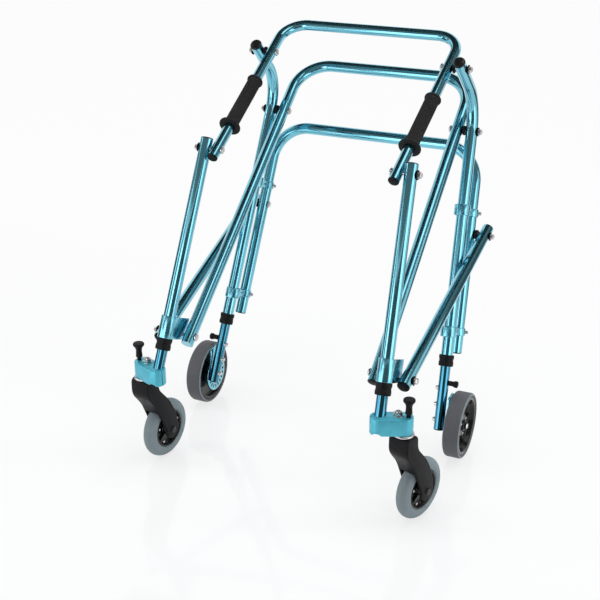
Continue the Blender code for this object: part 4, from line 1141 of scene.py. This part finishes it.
class WALKER_OT_casters(bpy.types.Operator):
    """Make the caster blocks, lock knobs, forks and front wheels"""

    bl_idname = "walker.casters"
    bl_label = "Casters"

    def block(self, side):
        line, half = front_axis(side), BLOCK_HEIGHT / 2
        middle = BLOCK_TOP_Z - half
        leg, stem = placed(line.at(middle)), stem_point(side, middle)
        blank = prism_mesh(two_rounds(leg, stem, BLOCK_ROUND), -half, half,
                           raised(Matrix(), middle), 0.0016)
        rise = line.direction * 0.05
        bore = rod_mesh(leg - rise, leg + rise, sizes().inner_radius + GAP)
        out = Vector((leg.x - stem.x, leg.y - stem.y, 0)).normalized()
        split = place_on(leg + out * 0.014, Vector((0, 0, 1)), out)
        slit = prism_mesh(mm(-12, -0.8, 12, -0.8, 12, 0.8, -12, 0.8), -0.03, 0.03, split)
        shape = Shape(side)
        shape.add(carved(blank, [bore, slit]), SATIN)
        top = stem_point(side, BLOCK_TOP_Z)
        seat = Matrix.Translation(top - Vector((side * STEM_NUT_IN, 0.001, 0)))
        shape.turned(mm(9.8, 1.4, 10, -0.2), seat, STEEL, 36, soft=0.0003)
        shape.hexagon(0.0150, 0.0060, raised(seat, 0.0014), STEEL)
        shape.turned(mm(0, 10.8, 3, 10.6, 4.8, 9.2, 5.6, 7), seat, STEEL, 28, soft=0.0008)
        shape.turned(mm(19, 0, 20.5, -1.4, 20.5, -4),
                     Matrix.Translation(stem_point(side, middle - half)), STEEL, 48, soft=0.0005)
        face = stem - Vector((side * 0.012, BLOCK_ROUND - 0.0008, 0))
        screw_head(shape, place_on(face, Vector((0, -1, 0))), 0.0030, 0.0012)
        shape.piece("block", "front_leg_tube", "caster_block")

    def knob(self, side):
        top = stem_point(side, BLOCK_TOP_Z)
        place = Matrix.Translation(top + Vector((side * SWIVEL_KNOB_OUT, 0, 0)))
        shape = Shape(side)
        shape.turned(mm(0, 38, 10.6, 37.8, 11.5, 36.5, 11.5, 33.5, 10.8, 32.2, 8.2, 29.2, 6.6, 25,
                        6, 21.5, 6.4, 13.5, 7, 7.8, 4.5, 7.3, 4.5, -7), place, PLASTIC, 40,
                     soft=0.0008)
        shape.piece("swivel_knob", "swivel_lock", "swivel_lock_knob")

    def fork(self, side):
        radius, width = sizes().front_wheel_radius, sizes().front_wheel_width
        rise = CROWN_Z - radius
        outline = [(FORK_CROWN[0], CROWN_Z), (FORK_CROWN[0], radius + FORK_LEAN_START * rise)]
        outline += [(TRAIL * back, radius + rise * up) for back, up in FORK_FRONT]
        outline += arc((TRAIL, radius), 0.0200, 165, 375, 22)
        outline += [(TRAIL * back, radius + rise * up) for back, up in FORK_BACK]
        outline.append((FORK_CROWN[1], CROWN_Z))
        place = caster_place(side)
        blank = prism_mesh(softened(outline, 0.012, 5, True), -FORK_HALF, FORK_HALF,
                           place @ ON_EDGE, 0.0030, 4)
        across = place.col[0].xyz
        axle = place @ Vector((0, TRAIL, radius))
        reach = across * (width / 2 + 0.003)
        slot = rod_mesh(axle - reach, axle + reach, radius + 0.003, 72)
        shape = Shape(side)
        shape.add(carved(blank, [slot]), PLASTIC)
        shape.turned(mm(13, 0, 13, 5.2), Matrix.Translation(stem_point(side, CROWN_Z - 0.0002)),
                     STEEL, 36)
        shape.piece("fork", "caster", "caster_fork")
        pins = Shape(side)
        pins.turned([(0.004, FORK_HALF), (0.004, -FORK_HALF)], place_on(axle, across), STEEL, 24)
        for way in (-1, 1):
            seat = place_on(axle + across * (way * (FORK_HALF + 0.0002)), across * way)
            pins.turned(mm(0, 3.4, 4, 3.2, 6.6, 1.8, 7, 0), seat, GLOSS, 32, soft=0.0006)
        pins.piece("caster_axle", "caster", "front_axle")

    def wheel(self, side):
        radius, half = sizes().front_wheel_radius, sizes().front_wheel_width / 2
        place = caster_place(side)
        hub = place_on(place @ Vector((0, TRAIL, radius)), place.col[0].xyz)
        shape, rim = Shape(side), FRONT_RIM
        shape.turned(mirrored((rim, half * 0.80), (rim + 0.0030, half * 0.97),
                              (rim + 0.0080, half), (radius - 0.0085, half * 0.90),
                              (radius - 0.0035, half * 0.68), (radius - 0.0008, half * 0.36),
                              (radius, half * 0.10)), hub, FRONT_TREAD, 96, loop=True, soft=0.003)
        shape.piece("front_tread", "front_wheel", "front_tyre", angle=55)
        core = Shape(side)
        core.turned(mirrored((0.0046, half * 0.98), (0.0105, half * 0.98), (0.0130, half * 0.70),
                             (0.0150, 0.0045), (rim - 0.0075, 0.0035), (rim - 0.0045, half * 0.55),
                             (rim - 0.0030, half * 0.86), (rim - GAP, half * 0.90)),
                    hub, GLOSS, 72, loop=True, soft=0.0012)
        rib = prism_mesh([(0.0120, -0.0013), (rim - 0.0050, -0.0010), (rim - 0.0050, 0.0010),
                          (0.0120, 0.0013)], -half * 0.62, half * 0.62, Matrix(), 0.0005, 2)
        core.ring(rib, 5, hub, GLOSS)
        core.turned([(0.0075, half * 1.02), (0.0075, -half * 1.02)], hub, STEEL, 32, soft=0.0004)
        for flip in (math.pi, 0.0):
            add_screws(core, 0.0310, 5, 18.0, half * 0.62, hub @ Matrix.Rotation(flip, 4, "X"))
        core.piece("front_rim", "front_wheel", "front_hub")

    def execute(self, context):
        for side in SIDES:
            self.block(side)
            self.knob(side)
            self.fork(side)
            self.wheel(side)
        return {"FINISHED"}


class WALKER_OT_rear_wheels(bpy.types.Operator):
    """Make the rear wheels with their ratchet plates, axles and knobs"""

    bl_idname = "walker.rear_wheels"
    bl_label = "Rear wheels"

    def plate(self, side):
        axle, leg, half = rear_axle_point(side), rear_axis(side), PLATE_THICK / 2
        upper = placed(leg.at(RATCHET_KNOB_Z - 0.034)) + Vector((0, 0.008, -0.012))
        turn = Matrix.Translation((side * (plate_face() + half), 0, 0)) @ ON_EDGE
        along = Vector((upper.y - axle.y, upper.z - axle.z)).normalized()
        heading = math.degrees(math.atan2(along.y, along.x))
        outline = arc((axle.y, axle.z), PLATE_R, heading + 35, heading + 325, 60)
        tip = Vector((upper.y, upper.z)) + along * PLATE_ARM[0]
        aside = Vector((along.y, -along.x)) * PLATE_ARM[1]
        outline += [tuple(tip + aside), tuple(tip - aside)]
        shape = Shape(side)
        blank = prism_mesh(softened(outline, 0.004, 3, True), -half, half, turn, 0.0008, 2)
        inboard = along_x(-side, axle, -plate_face())
        slot = prism_mesh(mm(26.2, -1.8, 34, -2.4, 34, 2.4, 26.2, 1.8), -0.010, 0.002, Matrix())
        slots = repeated(slot, 18, math.tau / 18, 0.0, POLISHED, inboard)
        shape.add(carved(blank, [slots]), POLISHED)
        shape.turned(mm(21.5, 0, 21.5, 1.2, 19, 1.2, 19, 0), inboard, POLISHED, 48, loop=True)
        for height in PLATE_SCREWS_Z:
            spot = placed(leg.at(height))
            seat = along_x(-side, spot, sizes().inner_radius - abs(spot.x) + 0.0002)
            shape.turned(mm(5.8, 1, 6, -1.5), seat, STEEL, 28, soft=0.0003)
            shape.turned(mm(0, 5.2, 2.6, 5, 4, 4, 4.2, 1), seat, STEEL, 24, soft=0.0005)
        shape.piece("ratchet", "rear_leg_tube", "ratchet_plate")

    def axle(self, side):
        point, plate = rear_axle_point(side), plate_face()
        face = REAR_WHEEL_X + sizes().rear_wheel_width * 0.34 + GAP
        shape = Shape(side)
        shape.turned([(0.0040, face), (0.0040, plate)], along_x(side, point), STEEL, 24)
        outer = along_x(side, point, face)
        shape.turned(mm(8.5, 1, 8.7, 0), outer, PLASTIC, 32)
        shape.hexagon(0.0120, 0.0040, raised(outer, 0.0008), STEEL)
        inner = along_x(-side, point, 0.0003 - plate)
        shape.turned(mm(9.2, 1.4, 9.5, 0), inner, STEEL, 32)
        shape.hexagon(0.0130, 0.0062, raised(inner, 0.0012), STEEL)
        shape.turned(mm(0, 13.5, 3.2, 13.3, 4, 12.5, 4, 7), inner, STEEL, 24)
        shape.piece("wheel_axle", "rear_leg_tube", "rear_axle")

    def wheel(self, side):
        radius, half = sizes().rear_wheel_radius, sizes().rear_wheel_width / 2
        hub = along_x(side, rear_axle_point(side), REAR_WHEEL_X)
        shape, rim = Shape(side), REAR_RIM
        shape.turned(mirrored((rim, half * 0.86), (rim + 0.0020, half * 0.96),
                              (radius - 0.0042, half * 0.98), (radius - 0.0012, half * 0.86),
                              (radius, half * 0.76)), hub, REAR_TREAD, 112, loop=True, soft=0.0008)
        edge = [(radius - 0.0046, half * 0.97), (radius - 0.0042, half),
                (radius - 0.0012, half * 0.89), (radius - 0.0024, half * 0.82)]
        for way in (-1, 1):
            shape.turned([(out, way * high) for out, high in edge], hub, FRONT_TREAD, 112,
                         loop=True)
        shape.piece("rear_tread", "rear_wheel", "rear_tyre", angle=50)
        face = half * 0.68
        inboard = plate_face() + PLATE_THICK + 3 * GAP - REAR_WHEEL_X
        dish = [(0.0046, face), (0.0105, face), (0.0120, face - 0.0016),
                *mm(12.4, 7.2, 23.5, 6.8, 25, 3.4, 50, 2.4, 53.2, 4.4),
                (rim - 0.0068, half * 0.78), (rim - 0.0058, half * 0.90), (rim - GAP, half * 0.90),
                (rim - GAP, -half * 0.90), (rim - 0.0035, -half * 0.90),
                (rim - 0.0060, -half * 0.80), *mm(55, -6, 24, -6), (0.0220, inboard),
                (0.0046, inboard)]
        core = Shape(side)
        core.turned(dish, hub, GLOSS, 96, loop=True, soft=0.0012)
        rib = prism_mesh(mm(20, -5, 52, -2.6, 52, 2.6, 20, 5), 0.0010, 0.0058, Matrix(), 0.0014)
        core.ring(rib, 5, hub, GLOSS)
        add_screws(core, 0.0185, 3, 27.0, 0.0068, hub)
        add_screws(core, 0.0480, 1, 206.0, 0.0024, hub)
        core.piece("rear_rim", "rear_wheel", "rear_hub")

    def knob(self, side):
        point = placed(rear_axis(side).at(RATCHET_KNOB_Z))
        shape = Shape(side)
        shape.turned(mm(0, 20, 5.2, 19.8, 7, 18.8, 7.2, 17, 7.2, 12.8, 6, 11, 5.4, 9, 5.4, 0, 3, 0,
                        3, -6), along_x(side, point, abs(point.x) + sizes().inner_radius + GAP),
                     PLASTIC, 36, soft=0.0007)
        shape.piece("ratchet_pull", "ratchet_knob", "ratchet_knob")

    def execute(self, context):
        for side in SIDES:
            self.plate(side)
            self.axle(side)
            self.wheel(side)
            self.knob(side)
        return {"FINISHED"}


def ray_is_seen(tree):
    """1 for camera, glossy and transmission rays, and 0 for the rest."""
    path = tree.nodes.new("ShaderNodeLightPath")
    seen = math_node(tree, "MAXIMUM", path.outputs["Is Camera Ray"], path.outputs["Is Glossy Ray"])
    return math_node(tree, "MAXIMUM", seen.outputs[0], path.outputs["Is Transmission Ray"])


def blended(tree, share, first, second):
    """The first shader, and as much of the second as the share says."""
    mix = tree.nodes.new("ShaderNodeMixShader")
    for slot, source in enumerate((share, first, second)):
        wire(tree, (source, 0, mix, slot))
    return mix


class WALKER_OT_stage(bpy.types.Operator):
    """Make the pale floor, the white surroundings, the lamps and the camera"""

    bl_idname = "walker.stage"
    bl_label = "Stage"

    def world(self):
        """White where it is seen, and an even light on everything else."""
        world = bpy.data.worlds.new("studio")
        bpy.context.scene.world = world
        world.use_nodes = True
        tree = world.node_tree
        tree.nodes.clear()
        even = new_node(tree, "ShaderNodeBackground", Color=(0.97, 0.985, 1.0, 1.0),
                        Strength=bpy.context.scene.walker_stage.sky)
        white = new_node(tree, "ShaderNodeBackground", Color=(1.0, 1.0, 1.0, 1.0))
        out = tree.nodes.new("ShaderNodeOutputWorld")
        wire(tree, (blended(tree, ray_is_seen(tree), even, white), 0, out, 0))

    def floor(self):
        """Paler towards the back where it is seen, with a faint mirror image over it."""
        mesh = bpy.data.meshes.new("floor")
        mesh.from_pydata([(-FLOOR, -FLOOR, 0), (FLOOR, -FLOOR, 0), (FLOOR, FLOOR, 0),
                          (-FLOOR, FLOOR, 0)], [], [(0, 1, 2, 3)])
        mesh.transform(Matrix.Translation((0, 0, FLOOR_Z)))
        floor = linked("floor", mesh)
        material = bpy.data.materials.new("studio_floor")
        material.use_nodes = True
        tree = material.node_tree
        shader = tree.nodes["Principled BSDF"]
        shader.inputs["Base Color"].default_value = (*bpy.context.scene.walker_stage.floor, 1.0)
        shader.inputs["Roughness"].default_value = 0.6
        shader.inputs["Specular IOR Level"].default_value = 0.0
        where = tree.nodes.new("ShaderNodeTexCoord")
        split = tree.nodes.new("ShaderNodeSeparateXYZ")
        fade = new_node(tree, "ShaderNodeMapRange", From_Min=-1.1, From_Max=0.9, To_Min=0.58,
                        To_Max=0.98)
        wire(tree, (where, "Object", split, 0), (split, "Y", fade, "Value"))
        share = math_node(tree, "MULTIPLY", ray_is_seen(tree).outputs[0], fade.outputs["Result"])
        glow = new_node(tree, "ShaderNodeEmission", Color=(1.0, 1.0, 1.0, 1.0))
        gloss = new_node(tree, "ShaderNodeBsdfGlossy", Roughness=0.07)
        sheen = new_node(tree, "ShaderNodeFresnel", IOR=1.33)
        plain = blended(tree, share, shader, glow)
        top = blended(tree, math_node(tree, "MINIMUM", sheen.outputs[0], 0.10), plain, gloss)
        wire(tree, (top, 0, tree.nodes["Material Output"], "Surface"))
        mesh.materials.append(material)

    def cards(self):
        """Bright and dark studio cards that only the reflections show."""
        corners, glow = [], []
        for start, end, low, high, light in WALL_CARDS:
            steps = round((end - start) / 6)
            for step in range(steps):
                first, last = (math.radians(CAMERA_HEADING + start + (end - start) * edge / steps)
                               for edge in (step, step + 1))
                for angle, height in ((first, low), (last, low), (last, high), (first, high)):
                    corners.append((CARD_REACH * math.cos(angle), CARD_REACH * math.sin(angle),
                                    height))
                glow.append(light)
        for left, front, right, rear, height, light in CEILING_CARDS:
            corners += [(left, front, height), (right, front, height), (right, rear, height),
                        (left, rear, height)]
            glow.append(light)
        mesh = bpy.data.meshes.new("studio_cards")
        mesh.from_pydata(corners, [], [range(at, at + 4) for at in range(0, len(corners), 4)])
        mesh.attributes.new("glow", "FLOAT", "FACE").data.foreach_set("value", glow)
        cards = linked("studio_cards", mesh)
        cards.visible_camera = cards.visible_diffuse = cards.visible_shadow = False
        cards.visible_transmission = cards.visible_volume_scatter = False
        material = bpy.data.materials.new("studio_cards")
        material.use_nodes = True
        tree = material.node_tree
        tree.nodes.clear()
        value = tree.nodes.new("ShaderNodeAttribute")
        value.attribute_name = "glow"
        shine = tree.nodes.new("ShaderNodeEmission")
        out = tree.nodes.new("ShaderNodeOutputMaterial")
        wire(tree, (value, "Fac", shine, "Strength"), (shine, 0, out, "Surface"))
        mesh.materials.append(material)

    def lamp(self, name, place, size, power):
        light = bpy.data.lights.new(name, "AREA")
        light.shape = "RECTANGLE"
        light.size, light.size_y = size
        light.energy = power
        lamp = linked(name, light)
        lamp.location = place
        aim = Vector((0, 0, 0.4)) - Vector(place)
        lamp.rotation_euler = aim.to_track_quat("-Z", "Y").to_euler()

    def camera(self):
        data = bpy.data.cameras.new("camera")
        data.lens = bpy.context.scene.walker_stage.lens
        data.sensor_width = 36.0
        data.clip_start = 0.05
        data.clip_end = 100.0
        camera = linked("camera", data)
        camera.location = CAMERA
        camera.rotation_euler = (math.radians(90.0 - CAMERA_DOWN), 0.0, math.radians(CAMERA_ROUND))
        bpy.context.scene.camera = camera

    def execute(self, context):
        power = context.scene.walker_stage.lamp_power
        self.world()
        self.floor()
        self.cards()
        self.lamp("overhead_lamp", (0.2, -0.2, 3.0), (2.2, 1.2), power)
        self.lamp("left_lamp", (-2.6, -0.9, 1.9), (0.5, 2.0), power * 0.5)
        self.lamp("right_lamp", (2.4, 0.6, 1.7), (0.5, 2.0), power * 0.4)
        self.camera()
        context.scene.view_settings.view_transform = "Standard"
        return {"FINISHED"}


STEPS = (WALKER_OT_materials, WALKER_OT_tubes, WALKER_OT_grips, WALKER_OT_brackets,
         WALKER_OT_bolts, WALKER_OT_casters, WALKER_OT_rear_wheels, WALKER_OT_stage)


class WALKER_PT_panel(bpy.types.Panel):
    """Buttons that build the walker, and its sizes and colours"""

    bl_idname = "WALKER_PT_panel"
    bl_label = "Folding walker"
    bl_space_type = "VIEW_3D"
    bl_region_type = "UI"
    bl_category = "Walker"

    def draw(self, context):
        for step in STEPS:
            self.layout.operator(step.bl_idname)
        for group in (sizes(), finishes(), context.scene.walker_stage):
            box = self.layout.box()
            for name in group.__annotations__:
                box.prop(group, name)


CLASSES = (WalkerSizes, WalkerFinishes, WalkerStage, *STEPS, WALKER_PT_panel)


def register():
    for item in CLASSES:
        bpy.utils.register_class(item)
    bpy.types.Scene.walker_sizes = PointerProperty(type=WalkerSizes)
    bpy.types.Scene.walker_finishes = PointerProperty(type=WalkerFinishes)
    bpy.types.Scene.walker_stage = PointerProperty(type=WalkerStage)


def unregister():
    del bpy.types.Scene.walker_stage
    del bpy.types.Scene.walker_finishes
    del bpy.types.Scene.walker_sizes
    for item in reversed(CLASSES):
        bpy.utils.unregister_class(item)


def main():
    register()
    for step in STEPS:
        group, name = step.bl_idname.split(".")
        getattr(getattr(bpy.ops, group), name)()


if __name__ == "__main__":
    main()
